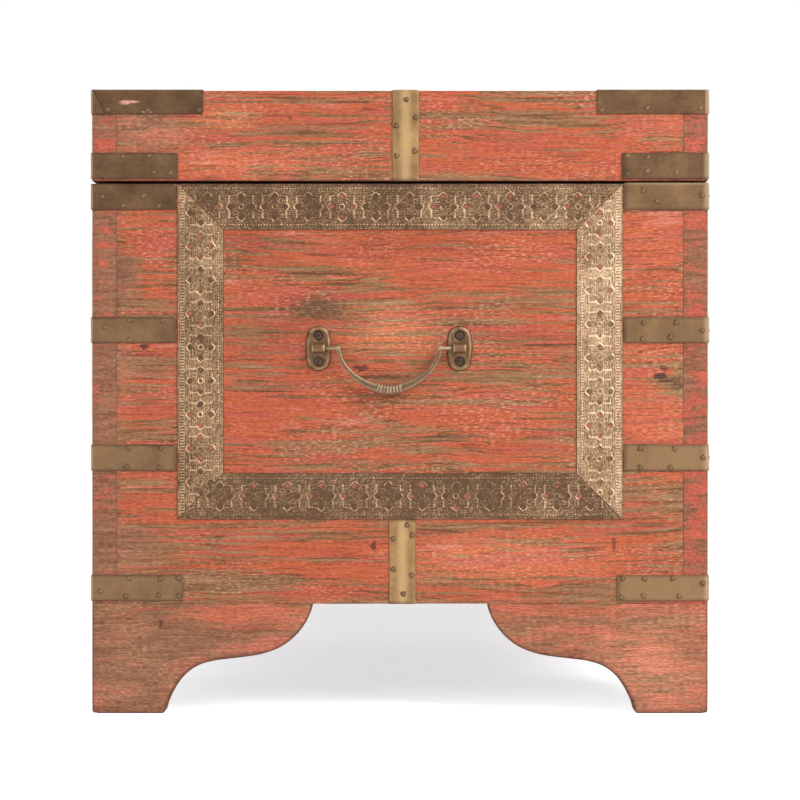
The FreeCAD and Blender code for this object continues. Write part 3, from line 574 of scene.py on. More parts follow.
def marks(points, areas):
    """The sum at each point of soft ellipses that the photograph gives, 0 off the end that it shows."""
    share = np.zeros(len(points))
    for column, row, wide, high, strength in areas:
        across = (points[:, 1] - photo_y(column)) / (wide * PIXEL)
        up = (points[:, 2] - photo_z(row)) / (high * PIXEL)
        share += strength * unit(1.3 - np.sqrt(across**2 + up**2))
    return share * (points[:, 0] < -HALF_LENGTH + 0.002)


def board(pile, low, high, cut, seed, edge=1.0, seat=None):
    """One board in a pile; its faces across the end grain's axis get the second material."""
    radius, cell, end_axis = cut
    extras = seat_lines(*seat) if seat else ((), (), ())
    points, faces, axes, closeness = soft_box(low, high, radius, cell, seed, extras)
    if seat:
        sink_seat(points, *seat)
    # Painted shade on the rims in the gap between the body and the lid, darkest at the outer walls; the
    # darkened edges are grime at joints and wear
    shaded_gap = (points[:, 2] > BODY_TOP - 0.3 * MM) & (points[:, 2] < LID_LOW + 0.7 * MM)
    outer_x = np.abs(points[:, 0]) > HALF_LENGTH - 4 * MM
    outer_y = np.abs(points[:, 1]) > HALF_DEPTH - 4 * MM
    dirt = np.maximum(closeness**2 * edge, shaded_gap * np.where(outer_x | outer_y, 0.9, 0.35))
    wear = 0.8 * closeness + marks(points, WORN)
    muted = np.clip(marks(points, MUTED), 0.0, 0.9)
    kinds = [1 if axis == end_axis else 0 for axis in axes]
    pile.add(points, faces, kinds, wear=wear, dirt=dirt, pale=marks(points, PALE), muted=muted)


def seat_lines(reach_x, reach_y, shelf):
    """Grid lines at the sides of a seat, a pair for each so that its walls stand upright."""
    return (
        (-reach_x, -reach_x + SLIT, reach_x - SLIT, reach_x),
        (-reach_y, -reach_y + SLIT, reach_y - SLIT, reach_y),
        (shelf, LID_LOW + 1.2 * MM),
    )


def sink_seat(points, reach_x, reach_y, shelf):
    """Lower what lies inside a seat, where the lid's planks are let in."""
    inside = (np.abs(points[:, 0]) < reach_x - SLIT / 2) & (np.abs(points[:, 1]) < reach_y - SLIT / 2)
    points[inside & (points[:, 2] > shelf), 2] = shelf


def replace_boards(node, name, boxes, materials, body, slot, cut, seed, edge=1.0, seat=None):
    """Softer boards in place of a CAD node of plain boards."""
    pile = Pile()
    for index, (low, high, *_) in enumerate(boxes):
        board(pile, low, high, cut, seed + 3.7 * index, edge, seat)
    pile.build(name, materials, body, node)


def make_body(paint, ends, bare):
    place = ("chest_body", "painted_body_wood")
    for side, seed in (("front", 1.0), ("back", 31.0)):
        node = side + "_wall_planks"
        boxes = loose_boxes(node)
        replace_boards(node, side + "_wall_boards", boxes, [paint[0], ends], *place, WALL, seed, 0.25)
    for side, seed in (("left", 61.0), ("right", 91.0)):
        node = side + "_end_planks"
        replace_boards(node, side + "_end_panel", [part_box(node)], [paint[1]], *place, PANEL, seed, 0.20)
    boxes = loose_boxes("floor_boards")
    place = ("chest_body", "bare_wood")
    replace_boards("floor_boards", "floor_boards_boards", boxes, [bare[0], bare[0]], *place, FLOOR, 7.0)
    make_cleats(bare)


def make_cleats(bare):
    """Two long cleats under the floor boards and two short ones between them."""
    inner_x = HALF_LENGTH - BOARD
    inner_y = HALF_DEPTH - BOARD
    low, high = BODY_LOW, BODY_LOW + CLEAT
    pile = Pile()
    for sign in (-1, 1):
        y = sorted((sign * inner_y, sign * (inner_y - CLEAT)))
        board(pile, (-inner_x, y[0], low), (inner_x, y[1], high), LONG_CLEAT, 3.0 + sign)
        x = sorted((sign * inner_x, sign * (inner_x - CLEAT)))
        short = inner_y - CLEAT
        board(pile, (x[0], -short, low), (x[1], short, high), SHORT_CLEAT, 6.0 + sign)
    pile.build("floor_cleats_boards", [bare[0]], "chest_body", "floor_cleats")


def make_lid(paint, ends):
    place = ("lid", "painted_lid_wood")
    reach = HALF_DEPTH - BOARD
    for node, sign in (("lid_front_rail", -1), ("lid_back_rail", 1)):
        y = sorted((sign * HALF_DEPTH, sign * reach))
        boxes = [((-HALF_LENGTH, y[0], LID_LOW), (HALF_LENGTH, y[1], LID_TOP))]
        seed = 11.0 + sign
        replace_boards(node, node + "_board", boxes, [paint[0], ends], *place, LONG_RAIL, seed, 0.6, SEAT)
    for node, sign in (("lid_left_rail", -1), ("lid_right_rail", 1)):
        x = sorted((sign * HALF_LENGTH, sign * (HALF_LENGTH - BOARD)))
        boxes = [((x[0], -reach, LID_LOW), (x[1], reach, LID_TOP))]
        replace_boards(node, node + "_board", boxes, [paint[1]], *place, SHORT_RAIL, 41.0 + sign, 0.2, SEAT)
    boxes = loose_boxes("lid_top_planks")
    replace_boards("lid_top_planks", "lid_top_boards", boxes, [paint[0], ends], *place, LID_PLANK, 51.0)


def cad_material(node, material):
    """Give a CAD node one material."""
    slots = frame["nodes"][node].data.materials
    slots.clear()
    slots.append(material)


# Feet

FOOT_HIGH = 0.080
FOOT_EDGE = 0.0013
FOOT_ROWS = 18
TOE_CORNER = 0.0052

# The ogee from the toe to the body, in millimetres from the chest's corner and from the floor
OGEE = (
    (0.0, 5.0), (0.5, 2.6), (1.6, 1.1), (3.2, 0.3), (5.2, 0.0), (12.0, 0.0), (20.0, 0.0), (28.0, 0.0),
    (36.0, 0.0), (43.0, 0.0), (50.0, 0.0), (51.8, 0.2), (52.9, 1.0), (53.6, 2.8), (55.4, 8.6), (59.0, 16.0),
    (63.0, 22.2), (68.0, 28.2), (74.0, 33.0), (81.0, 36.4), (90.0, 38.6), (100.0, 39.9), (112.0, 41.3),
    (122.0, 42.9), (131.0, 45.5), (139.0, 49.2), (146.0, 54.3), (152.0, 60.5), (157.0, 68.0), (160.0, 75.0),
    (161.0, 80.0),
)

# How the rounded edge turns in: distance in from the outline and depth, as shares of FOOT_EDGE, and dirt
EDGE_TURN = ((0.0, 1.0, 1.0), (0.12, 0.52, 1.0), (0.45, 0.14, 0.9), (1.0, 0.0, 0.45))


def smooth_line(points, steps):
    """A Catmull-Rom line through points, with some steps between each two."""
    padded = [2 * points[0] - points[1], *points, 2 * points[-1] - points[-2]]
    line = []
    for a, b, c, d in zip(padded, padded[1:], padded[2:], padded[3:]):
        for step in range(steps):
            t = step / steps
            curve = (2 * a - 5 * b + 4 * c - d) * t**2 + (3 * b - a - 3 * c + d) * t**3
            line.append(0.5 * (2 * b + (c - a) * t + curve))
    line.append(points[-1])
    return line


def foot_board():
    """One foot board as (x, depth, z) grids: its face with rounded edges, its underside and its back."""
    edge = smooth_line([Vector(point) * MM for point in OGEE], 3)
    rows = []
    for inset, sink, _ in EDGE_TURN:
        row = []
        for index, point in enumerate(edge):
            tangent = edge[min(len(edge) - 1, index + 1)] - edge[max(0, index - 1)]
            inward = Vector((-tangent.y, tangent.x)).normalized() * FOOT_EDGE * inset
            x = point.x + inward.x * min(1.0, point.x / TOE_CORNER)
            z = point.y + inward.y
            row.append((max(x, 0.0), FOOT_EDGE * sink, min(max(z, 0.0), FOOT_HIGH)))
        rows.append(row)
    outline = rows[0]
    inner = rows[-1]
    for share in np.linspace(0.0, 1.0, FOOT_ROWS + 1)[1:]:
        rows.append([(x, depth, z + (FOOT_HIGH - z) * share) for x, depth, z in inner])
    face = np.array(rows)
    near = unit(1.0 - face[..., 0] / FOOT_EDGE)
    mitre_round = FOOT_EDGE * (1.0 - np.cos(np.arcsin(near) * 0.5))
    face[..., 1] = np.maximum(face[..., 1], mitre_round)
    face[..., 0] = np.maximum(face[..., 0], face[..., 1])
    under = [[(max(x, depth), depth, z) for x, _, z in outline] for depth in np.linspace(FOOT_EDGE, BOARD, 4)]
    back = []
    for share in (0.0, 0.5, 1.0):
        back.append([(max(x, BOARD), BOARD, z + (FOOT_HIGH - z) * share) for x, _, z in outline])
    return face, np.array(under), np.array(back)


def foot_grid(pile, grid, kind, part, lengthwise, depthwise):
    """Add one grid of a foot board at its corner of the chest; kind is 0 for the face."""
    along_board, depth, z = grid.reshape(-1, 3).T
    in_x, in_y = (along_board, depth) if part == "side" else (depth, along_board)
    points = np.stack([lengthwise * (HALF_LENGTH - in_x), depthwise * (HALF_DEPTH - in_y), z], axis=1)
    rim = np.zeros(grid.shape[:2])
    if kind == 0:
        rim[:len(EDGE_TURN)] = np.array([dirt for _, _, dirt in EDGE_TURN])[:, None]
    at_mitre = 0.8 * unit(1.4 - along_board / FOOT_EDGE) * (kind == 0)
    dirt = np.maximum(np.maximum(rim.ravel(), at_mitre), marks(points, GRIMY))
    wear = unit(depth / FOOT_EDGE) + marks(points, WORN)
    muted = 0.80 - 0.40 * unit(z / FOOT_HIGH) ** 2
    faces = grid_faces(*grid.shape[:2])
    pile.add(points, faces, kind, dirt=dirt, wear=wear, pale=marks(points, PALE), muted=muted)


def make_feet(paint, ends, bare):
    grids = foot_board()
    for side_y, depthwise in (("front", -1), ("back", 1)):
        for side_x, lengthwise in (("left", -1), ("right", 1)):
            for index, part in enumerate(("side", "end")):
                pile = Pile()
                for kind, grid in enumerate(grids):
                    foot_grid(pile, grid, kind, part, lengthwise, depthwise)
                name = f"foot_{side_y}_{side_x}_{part}"
                materials = [paint[index], ends, bare[index]]
                pile.build(name + "_board", materials, "chest_body", name)


# Brass sheet

CAP_FOLD = 0.017
RIM_FOLD = 0.009

# Grid steps along and up a strap, on the two caps that the photograph shows and on the others
CAP_STEPS = (0.0006, 0.0006)
STRAP_STEPS = (0.003, 0.0024)

# Depth of dents, sway of edges, a folded strap's rim that stays straight, and width of the grime and painted
# shade at an edge
DENT = 0.0002
SWAY = 0.0003
STILL_RIM = 0.0005
GRIMY_SHADED_RIM = 0.0004

# How far from the corner a strap is rubbed and given a painted highlight on its bend, towards the front and
# towards the back
RUBBED_AND_HIGHLIGHT_FRONT = 0.0016
RUBBED_AND_HIGHLIGHT_BACK = 0.0006

# Centre straps: sway, rounding of the edges, depth of the shoulder beside them, and height of the raised middle
CENTRE_SWAY = 0.0002
CENTRE_ROUND = 0.0006
CENTRE_SHOULDER = 0.00045
CENTRE_CROWN = 0.0004

# How pale the straps are up to a height, on the side of the back and of the front: paler low down, and paler at
# the front, on the key lamp's side, which is painted light
STRAP_TONES = (
    (0.230, 1.45, 2.45), (0.300, 0.82, 1.48), (0.388, -0.12, 1.00), (0.420, 0.05, 0.28), (1.0, -0.28, 0.24),
)


def leg_stations(first, second, step):
    """Places along a corner strap: (leg, distance from the corner, turn of the corner's arc, thinning)."""
    tip = 0.00035
    runs = []
    for leg, (length, pitch) in enumerate(((first, step), (second, STRAP_STEPS[0]))):
        inner = np.linspace(length - tip, 0.001, max(3, round(length / pitch)))
        runs.append([(leg, length, 90.0 * leg, 0.5)] + [(leg, place, 90.0 * leg, 1.0) for place in inner])
    arc = [(0, 0.0, turn, 1.0) for turn in (0, 22.5, 45, 67.5, 90)]
    return runs[0] + arc + runs[1][::-1]


def strap_profile(low, high, fold, step):
    """Height and offset of points across a strap, out from the wood, up, and over the top where it folds."""
    count = max(4, round((high - low) / step))
    points = [(low, 0.0), (low, SKIN * 0.6), (low + SKIN * 0.35, SKIN)]
    points += [(z, SKIN) for z in np.linspace(low, high, count + 1)[1:-1]]
    if fold:
        points += [(high - SKIN * 0.9, SKIN), (high - SKIN * 0.3, SKIN * 0.7), (high, SKIN * 0.1)]
        points += [(high, -o) for o in np.linspace(0.0, fold - 0.0003, 6)[1:]]
        points += [(high - SKIN * 0.4, -fold), (high - SKIN, -fold)]
    else:
        points += [(high - SKIN * 0.35, SKIN), (high, SKIN * 0.6), (high, 0.0)]
    return points


def strap_place(out, place, turn):
    """X and y beyond the chest's corner: on a leg or on the bend for what is outside, mitred for a fold."""
    bend = math.radians(turn)
    back_x, back_y = place * math.sin(bend), place * math.cos(bend)
    if out >= 0:
        return out * math.cos(bend) - back_x, out * math.sin(bend) - back_y
    return min(out, -back_x), min(out, -back_y)


def corner_strap(pile, corner, legs, low, high, fold, seed, tone):
    """A sheet strap bent round a corner, with uneven edges and small dents."""
    side_x, side_y = corner
    shown_cap = side_x < 0 and fold == CAP_FOLD
    step_along, step_up = CAP_STEPS if shown_cap else STRAP_STEPS
    stations = leg_stations(*legs, step_along)
    profile = strap_profile(low, high, fold, step_up)
    rubbed_and_highlight_reach = RUBBED_AND_HIGHLIGHT_FRONT if side_y < 0 else RUBBED_AND_HIGHLIGHT_BACK
    points, edge, dirt = [], [], []
    for leg, place, turn, thin in stations:
        for z, offset in profile:
            at = place if leg == 0 else -place
            dent = max(0.0, wobble(at * 60, z * 60, seed) + 0.1) * DENT
            rise = wobble(at * 35, seed, z * 5) * SWAY
            if fold:
                rise = min(0.0, rise) if low + STILL_RIM < z < high - STILL_RIM else 0.0
            x, y = strap_place(offset * thin - (dent if offset > SKIN * 0.9 else 0.0), place, turn)
            points.append((side_x * (HALF_LENGTH + x), side_y * (HALF_DEPTH + y), z + rise))
            # Grime and painted shade along the strap's edges and at the end of a fold
            border = min(z - low, 1.0 if fold else high - z, (legs[leg] - place) if place else 1.0)
            at_end = fold and offset < GRIMY_SHADED_RIM / 2 - fold
            dirt.append(0.65 if border < GRIMY_SHADED_RIM or at_end else 0.0)
            # Rubbed brass and a painted highlight on the corner's bend, wider at the front by the key lamp, and
            # on a fold's top
            on_fold = fold and offset > 0 and z > high - SKIN
            edge.append(1.0 if place < rubbed_and_highlight_reach else 0.5 if on_fold else 0.0)
    places = np.array(points)
    on_end = places[:, 0] < -HALF_LENGTH
    paint = np.minimum(1.0, 1.6 * marks(places, SMEARS)) * on_end
    tone = np.full(len(points), tone)
    # Painted shade along the back cap's fold line and painted light on its outer side, where the flat sheet
    # stands for a bend
    if shown_cap and side_y > 0:
        crease = crease_distance(places)
        dirt = np.maximum(dirt, 0.8 * on_end * (np.abs(crease) < CREASE_HALF))
        tone = tone + 0.7 * on_end * (crease > 0)
    pile.add(points, sheet_faces(len(stations), len(profile)), edge=edge, dirt=dirt, paint=paint, tone=tone)


def crease_distance(points):
    """Signed distance across the fold line of the back cap, above 0 on its outer side."""
    (start_y, start_z), (end_y, end_z) = [(photo_y(column), photo_z(row)) for column, row in CREASE]
    along_y, along_z = end_y - start_y, end_z - start_z
    from_y, from_z = points[:, 1] - start_y, points[:, 2] - start_z
    return (from_z * along_y - from_y * along_z) / math.hypot(along_y, along_z)


def strap_tone(low, high):
    middle = (low + high) / 2
    back, front = next(row[1:] for row in STRAP_TONES if middle[2] < row[0])
    return front if middle[1] < 0 else back


def strap_corner(low, high):
    """The chest's corner that a strap's box lies at, and its legs on the end and on the long side."""
    side_x = 1 if low[0] + high[0] > 0 else -1
    side_y = 1 if low[1] + high[1] > 0 else -1
    return (side_x, side_y), (high[1] - low[1] - SKIN, high[0] - low[0] - SKIN)


def make_straps(brass):
    places = ("front_right", "front_left", "back_right", "back_left")
    rows = [("body_straps_" + place, "chest_body") for place in places]
    rows += [("lid_corner_straps", "lid"), ("lid_corner_caps", "lid")]
    for node, body in rows:
        pile = Pile()
        for index, (low, high, _) in enumerate(loose_boxes(node)):
            corner, legs = strap_corner(low, high)
            over_rim = high[2] > BODY_TOP + 0.0005 and body == "chest_body"
            fold = CAP_FOLD if node == "lid_corner_caps" else RIM_FOLD if over_rim else 0.0
            seed = 7.3 * index + len(node)
            corner_strap(pile, corner, legs, low[2], high[2], fold, seed, strap_tone(low, high))
        pile.build(node + "_sheet", [brass], body, node)


def centre_strap(pile, face, offset, width, low, high, fold, seed):
    """An upright strap with a raised middle on one face of the chest, over the top where it folds."""
    path = [(SKIN, z, 1.0, 0.0) for z in np.linspace(low, high - (SKIN if fold else 0.0), 22)]
    if fold:
        path += [(SKIN * 0.7, high - SKIN * 0.3, 0.7, 0.7)]
        path += [(-o, high, 0.0, 1.0) for o in np.linspace(0.0, fold, 8)]
    half = width / 2
    rim = [(half, -SKIN), (half, -CENTRE_ROUND), (half - CENTRE_ROUND, -CENTRE_SHOULDER)]
    crown = [(a * half, -CENTRE_CROWN * abs(a) ** 2.5) for a in np.linspace(-0.92, 0.92, 15)]
    shape = [(-across, lift) for across, lift in rim] + crown + rim[::-1]
    points, edge, dirt = [], [], []
    for number, (out, z, away, up) in enumerate(path):
        last = number in (0, len(path) - 1)
        for across, lift in shape:
            dent = max(0.0, wobble(across * 90, z * 50 + out * 50, seed)) * DENT
            lower = lift - (dent if lift > -CENTRE_CROWN else 0.0)
            side = across + offset + wobble(z * 40 + out * 40, seed, 0.5) * CENTRE_SWAY
            place_out = out + away * lower
            if face == "front":
                points.append((side, -(HALF_DEPTH + place_out), z + up * lower))
            else:
                points.append((face * (HALF_LENGTH + place_out), side, z + up * lower))
            # Grime with painted shade along the edges and at the ends; rubbed brass and a painted highlight
            # along the raised middle
            dirt.append(0.8 if abs(across) > half - GRIMY_SHADED_RIM or last else 0.0)
            edge.append(max(0.0, 1.0 - (across / half * 2.2) ** 2))
    pile.add(points, sheet_faces(len(path), len(shape)), edge=edge, dirt=dirt)


def make_centre_straps(brass):
    for node, body in (("body_centre_straps", "chest_body"), ("lid_centre_straps", "lid")):
        pile = Pile()
        for index, (low, high, _) in enumerate(loose_boxes(node)):
            on_front = low[1] < -HALF_DEPTH
            face = "front" if on_front else (1 if low[0] > 0 else -1)
            axis = 0 if on_front else 1
            width = high[axis] - low[axis]
            offset = (high[axis] + low[axis]) / 2
            fold = CAP_FOLD if body == "lid" else 0.0
            centre_strap(pile, face, offset, width, low[2], high[2], fold, 3.1 * index)
        pile.build(node + "_sheet", [brass], body, node)


# Nails

NAIL_RADIUS = 0.0018
NAIL_SIDES = 14
NAIL_TOP = 0.00088

# Rings of a nail's head: share of its radius, height, and grime with painted shade round the head
NAIL_RINGS = (
    (1.22, 0.00003, 0.5), (1.02, 0.00005, 0.8), (0.98, 0.0003, 0.25), (0.82, 0.0006, 0.0), (0.5, 0.0008, 0.0),
)


def nail_head(pile, centre, outward, seed):
    """A domed head with a ring of grime and painted shade round it and a painted highlight at its top, a little
    off true.
    """
    outward, side, other = facing(outward)
    size = NAIL_RADIUS * (0.98 + 0.10 * wobble(seed, 0.3, 0.7))
    points, dirt = [], []
    for share, height, grime in NAIL_RINGS:
        for turn in circle(NAIL_SIDES):
            reach = size * share * (1.0 if share < 1.2 else 1.0 + 0.12 * math.sin(3 * turn + seed))
            spoke = (side * math.cos(turn) + other * math.sin(turn)) * reach
            points.append(centre + spoke + outward * height)
            dirt.append(grime)
    last = len(points)
    top = last - NAIL_SIDES
    faces = grid_faces(len(NAIL_RINGS), NAIL_SIDES, True)
    faces += [(top + step, top + (step + 1) % NAIL_SIDES, last) for step in range(NAIL_SIDES)]
    points.append(centre + outward * NAIL_TOP)
    # A painted highlight at the top of the dome
    pile.add(points, faces, dirt=dirt + [0.0], edge=[0.0] * last + [0.5])


def make_nails(brass):
    for node, body in (("body_strap_nails", "chest_body"), ("lid_strap_nails", "lid")):
        pile = Pile()
        for index, (_, _, corners) in enumerate(loose_boxes(node)):
            middle = corners.mean(0)
            tip = corners[np.argmin(np.abs(np.linalg.norm(corners - middle, axis=1) - NAIL_RADIUS * 0.44))]
            base = corners[np.any(corners != tip, axis=1)].mean(0)
            nail_head(pile, Vector(base), tip - base, 1.7 * index)
        pile.build(node.replace("nails", "nail_heads"), [brass], body, node)


# Embossed frames

BAND = 0.0336
MOTIF = 0.0246
BEAD = 0.00208
EMBOSS_LOW = 0.00035
EMBOSS_HIGH = 0.00125

# Length over which the relief falls to a mitre, and widths of the grime and painted shade at a strip's edges
# and of its painted shadow
MITRE_FALL = 0.0006
STRIP_GRIME_AND_SHADE = 0.0003
STRIP_SHADOW = 0.0013

# For the strips at the top, at the second side, at the bottom and at the first side:
# the place of a motif along the strip, and tones at its start and at its end
FIRST_MOTIFS = (0.0218, 0.0041, 0.0235, 0.0025)
# In both tables the upright strips are paler than the level ones; on the shown end the second side, at the
# front by the key lamp, and the top strip's end next to it are paler still, which is painted light
SHOWN_TONES = ((0.28, 0.62), (0.95, 0.90), (0.26, 0.26), (0.50, 0.58))
PLAIN_TONES = ((0.35, 0.45), (0.70, 0.70), (0.30, 0.30), (0.65, 0.65))


def ridge(distance, half):
    return unit(1.0 - (distance / half) ** 2)


def to_segment(a, b, start, end):
    """Distance of points to a segment."""
    dx, dy = end[0] - start[0], end[1] - start[1]
    share = unit(((a - start[0]) * dx + (b - start[1]) * dy) / (dx * dx + dy * dy))
    return np.hypot(a - start[0] - share * dx, b - start[1] - share * dy)


def pointed(a, b, centre_a, centre_b):
    """Distance from a petal's middle, larger across than along its diagonals."""
    return (np.abs(a - centre_a) ** 1.45 + np.abs(b - centre_b) ** 1.45) ** (1 / 1.45)


def lattice(u, v, cell, seed):
    """Smooth seeded noise from 0 to 1 over a strip, with features of a cell's size."""
    low_a = np.floor(u / cell).astype(int)
    low_b = np.floor(v / cell).astype(int)
    table = np.random.default_rng(seed).random((low_a.max() - low_a.min() + 2, low_b.max() - low_b.min() + 2))
    i = low_a - low_a.min()
    j = low_b - low_b.min()
    s = u / cell - low_a
    t = v / cell - low_b
    s = s * s * (3 - 2 * s)
    t = t * t * (3 - 2 * t)
    near = table[i, j] * (1 - s) + table[i + 1, j] * s
    far = table[i, j + 1] * (1 - s) + table[i + 1, j + 1] * s
    return near * (1 - t) + far * t


def motif_height(along_band, across, bold):
    """Relief of one motif in millimetres from its middle: four petals, a ring, loops and stepped outlines."""
    a, b = np.abs(along_band), np.abs(across)
    height = 0.30 + 0.26 * np.cos(2 * np.pi * b / 1.45) + 0.10 * np.cos(2 * np.pi * a / 1.2)
    outline = np.minimum(to_segment(a, b, (8.3, 7.9), (4.4, 8.3)), to_segment(a, b, (4.4, 8.3), (0.0, 11.1)))
    height = np.where(outline < 1.0, 0.10, height)
    height = np.maximum(height, 0.66 * ridge(outline, 0.55))
    height = np.maximum(height, 0.98 * ridge(to_segment(a, b, (8.8, 2.6), (8.7, 8.0)), 0.74))
    hollow = np.zeros_like(a)
    for centre_a, centre_b in ((7.7, 0.0), (0.0, 7.7)):
        far = pointed(a, b, centre_a, centre_b)
        outer = (a if centre_a else b) - 7.7
        height = np.where(far < 2.6, 0.02, height)
        height = np.where(np.abs(far - 3.1) < 0.9, height * 0.6, height)
        height = np.maximum(height, np.clip(0.66 + 0.30 * outer, 0.34, 1.0) * ridge(far - 2.95, 0.66))
        hollow = np.maximum(hollow, unit(2.3 - far))
    loop = np.hypot(a - 4.3, b - 4.3)
    height = np.where(loop < 1.0, 0.08, height)
    height = np.maximum(height, 0.52 * ridge(loop - 1.25, 0.45))
    ring = np.hypot(a, b)
    height = np.where(ring < 2.9, 0.14, height)
    height = np.maximum(height, bold * ridge(ring - 1.9, 0.62))
    height = np.where(ring < 1.1, 0.02, height)
    beads = (0.60 + 0.40 * np.cos(2 * np.pi * b / 1.2)) * (b < 11.4)
    for place, level in ((11.3, 0.70), (10.2, 0.50)):
        height = np.maximum(height, level * ridge(a - place, 0.42) * beads)
    return height, hollow


def border_height(u, v, ribbed):
    """Relief of the rims, bead rows and lines along both edges; u and v in millimetres."""
    inner = BAND / MM - v
    bead = BEAD / MM
    phase = (u % bead) - bead / 2
    height = np.maximum(0.52 * ridge(v - 0.55, 0.65), 0.46 * ridge(inner - 0.75, 0.85))
    for distance in (v - 1.75, v - 5.05):
        height = np.maximum(height, 0.50 * ridge(distance, 0.38))
    for distance in (inner - 2.0, inner - 5.3):
        height = np.maximum(height, 0.55 * ridge(distance, 0.38))
    height = np.maximum(height, 0.9 * ridge(np.hypot(phase, inner - 3.65), 0.85))
    beads = ridge(np.hypot(phase, v - 3.4), 0.85)
    ribs = ridge(phase, 0.68) * np.clip(1.9 - np.abs(v - 3.3), 0.0, 0.3) / 0.3
    return np.maximum(height, 0.85 * (ribs if ribbed else beads))


def band_relief(u, v, first, ribbed, seed):
    """Height from 0 to 1 and the share of red paint, over one strip of the frame; lengths in metres."""
    stray = 0.00055
    u = u + (lattice(u, v, 0.006, seed) - 0.5) * stray
    v_moved = v + (lattice(u, v, 0.007, seed + 1) - 0.5) * stray
    steps = (u - first) / MOTIF
    number = np.round(steps)
    along_band = (steps - number) * MOTIF / MM
    across = (v_moved - BAND / 2) / MM
    bold = np.where(np.abs(np.sin(number * 7.13 + seed) * 917.3) % 1.0 < 0.4, 0.95, 0.55)
    field, hollow = motif_height(along_band, across, bold)
    height = np.where(np.abs(across) < 11.9, field, 0.2)
    height = np.maximum(height, border_height(u / MM, v_moved / MM, ribbed) * (np.abs(across) > 11.3))
    strike = 0.72 + 0.50 * lattice(u, v, 0.009, seed + 2)
    height = height * strike + (lattice(u, v, 0.0011, seed + 3) - 0.5) * (0.29 if ribbed else 0.38)
    side = np.sign(np.where(np.abs(along_band) > np.abs(across), along_band, across * 3))
    roll = np.abs(np.sin(number * 12.9898 + side * 7.233 + seed) * 43758.5453) % 1.0
    return unit(height), hollow * (roll < 0.34)


def frame_strip(pile, start, end, inward, outward, cell, first, tone, ribbed, shadow, seed):
    """One mitred strip of embossed sheet from start to end along its outer edge."""
    along_band = (end - start).normalized()
    length = (end - start).length
    across = np.concatenate([[0.0], np.linspace(0.0, BAND, round(BAND / cell) + 1), [BAND]])
    share = np.linspace(0.0, 1.0, round(length / cell) + 1)[:, None]
    reach = length - 2 * across
    u = across + share * reach
    v = np.broadcast_to(across, u.shape)
    height, paint = band_relief(u, v, first, ribbed, seed)
    height = height * unit(np.minimum(share, 1.0 - share) * reach / MITRE_FALL)
    lift = EMBOSS_LOW + (EMBOSS_HIGH - EMBOSS_LOW) * height
    lift[:, [0, -1]] = 0.0
    points = np.array(start) + u[..., None] * np.array(along_band) + v[..., None] * np.array(inward)
    points = points + lift[..., None] * np.array(outward)
    faces = grid_faces(*u.shape)
    if along_band.cross(inward).dot(outward) < 0:
        faces = [face[::-1] for face in faces]
    tones = np.broadcast_to(tone[0] + (tone[1] - tone[0]) * unit(share * 2.0 - 0.9), u.shape)
    # Grime with painted shade along both edges, and on the top strip a painted shadow along its outer edge,
    # under the lid
    dirt = np.maximum(np.minimum(v, BAND - v) < STRIP_GRIME_AND_SHADE, shadow * (v < STRIP_SHADOW))
    pile.add(
        points.reshape(-1, 3), faces,
        relief=height.ravel(), paint=paint.ravel(), tone=tones.ravel(), dirt=dirt.ravel(),
    )


def make_frame(node, face, material, cell, tones):
    """Four mitred strips in place of a flat frame node."""
    low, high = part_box(node)
    if face == "front":
        outward = Vector((0, -1, 0))
        sides = [(x, -HALF_DEPTH) for x in (low[0], high[0])]
    else:
        outward = Vector((face, 0, 0))
        sides = [(face * HALF_LENGTH, y) for y in (high[1], low[1])]
    heights = (high[2], high[2], low[2], low[2])
    corners = [Vector((*side, z)) for side, z in zip((*sides, *sides[::-1]), heights)]
    middle = (corners[0] + corners[2]) / 2
    for index, part in enumerate(("top", "second", "bottom", "first")):
        start, end = corners[index], corners[(index + 1) % 4]
        inward = (middle - (start + end) / 2).normalized()
        shadow = 0.5 if part == "top" else 0.0
        pile = Pile()
        frame_strip(
            pile, start, end, inward, outward, cell, FIRST_MOTIFS[index], tones[index],
            part in ("first", "second"), shadow, 10 * index + len(node),
        )
        pile.build(f"{node}_{part}", [material], "chest_body", node)


# Handles

HANDLE_OFFSET = 0.008
HANDLE_HALF_PITCH = 0.0515
STANDOFF = 0.0054
PLATE_HALF = 0.0095
PLATE_SPREAD = 0.0070
PLATE_THICK = 0.0024
PLATE_SCREW = 0.00924
PLATE_SIDES = 72
PLATE_RINGS = 22
SINK_RADIUS = 0.0040
SCREW_RADIUS = 0.0032
SCREW_SIDES = 36
SCREW_RINGS = 12
SLOT_HALF = 0.00042
BAIL_HALF_SPAN = 0.037
BAIL_DROP = 0.0302
BAIL_STEPS = 220
BAIL_SIDES = 24
RING_PITCH = 0.00235
GRIP_HALF = 4 * RING_PITCH

# An eye plate's rounded rim and the depth of its dish, and the depth and slope of its countersinks
PLATE_ROUND = 0.0022
PLATE_DISH = 0.0005
SINK_DEPTH = 0.0011
SINK_SLOPE = 0.0007

# How deep a screw head lies, how much it domes, and the depth of its slot
SCREW_SUNK = 0.0002
SCREW_DOME = 0.0006
SLOT_DEPTH = 0.0005

# The bail's radius beside its grip, how much it thins over a length, and the grip's radius and rings
BAIL_RADIUS = 0.0030
BAIL_THINNING = 0.0015
BAIL_TAPER = 0.040
GRIP_RADIUS = 0.0029
RING_HEIGHT = 0.0008

# Radius above which the rod counts as a ring's top and below which as a hollow, and how far hollows reach
TOP_RADIUS = 0.0035
HOLLOW_RADIUS = 0.00315
HOLLOW_REACH = 0.0085

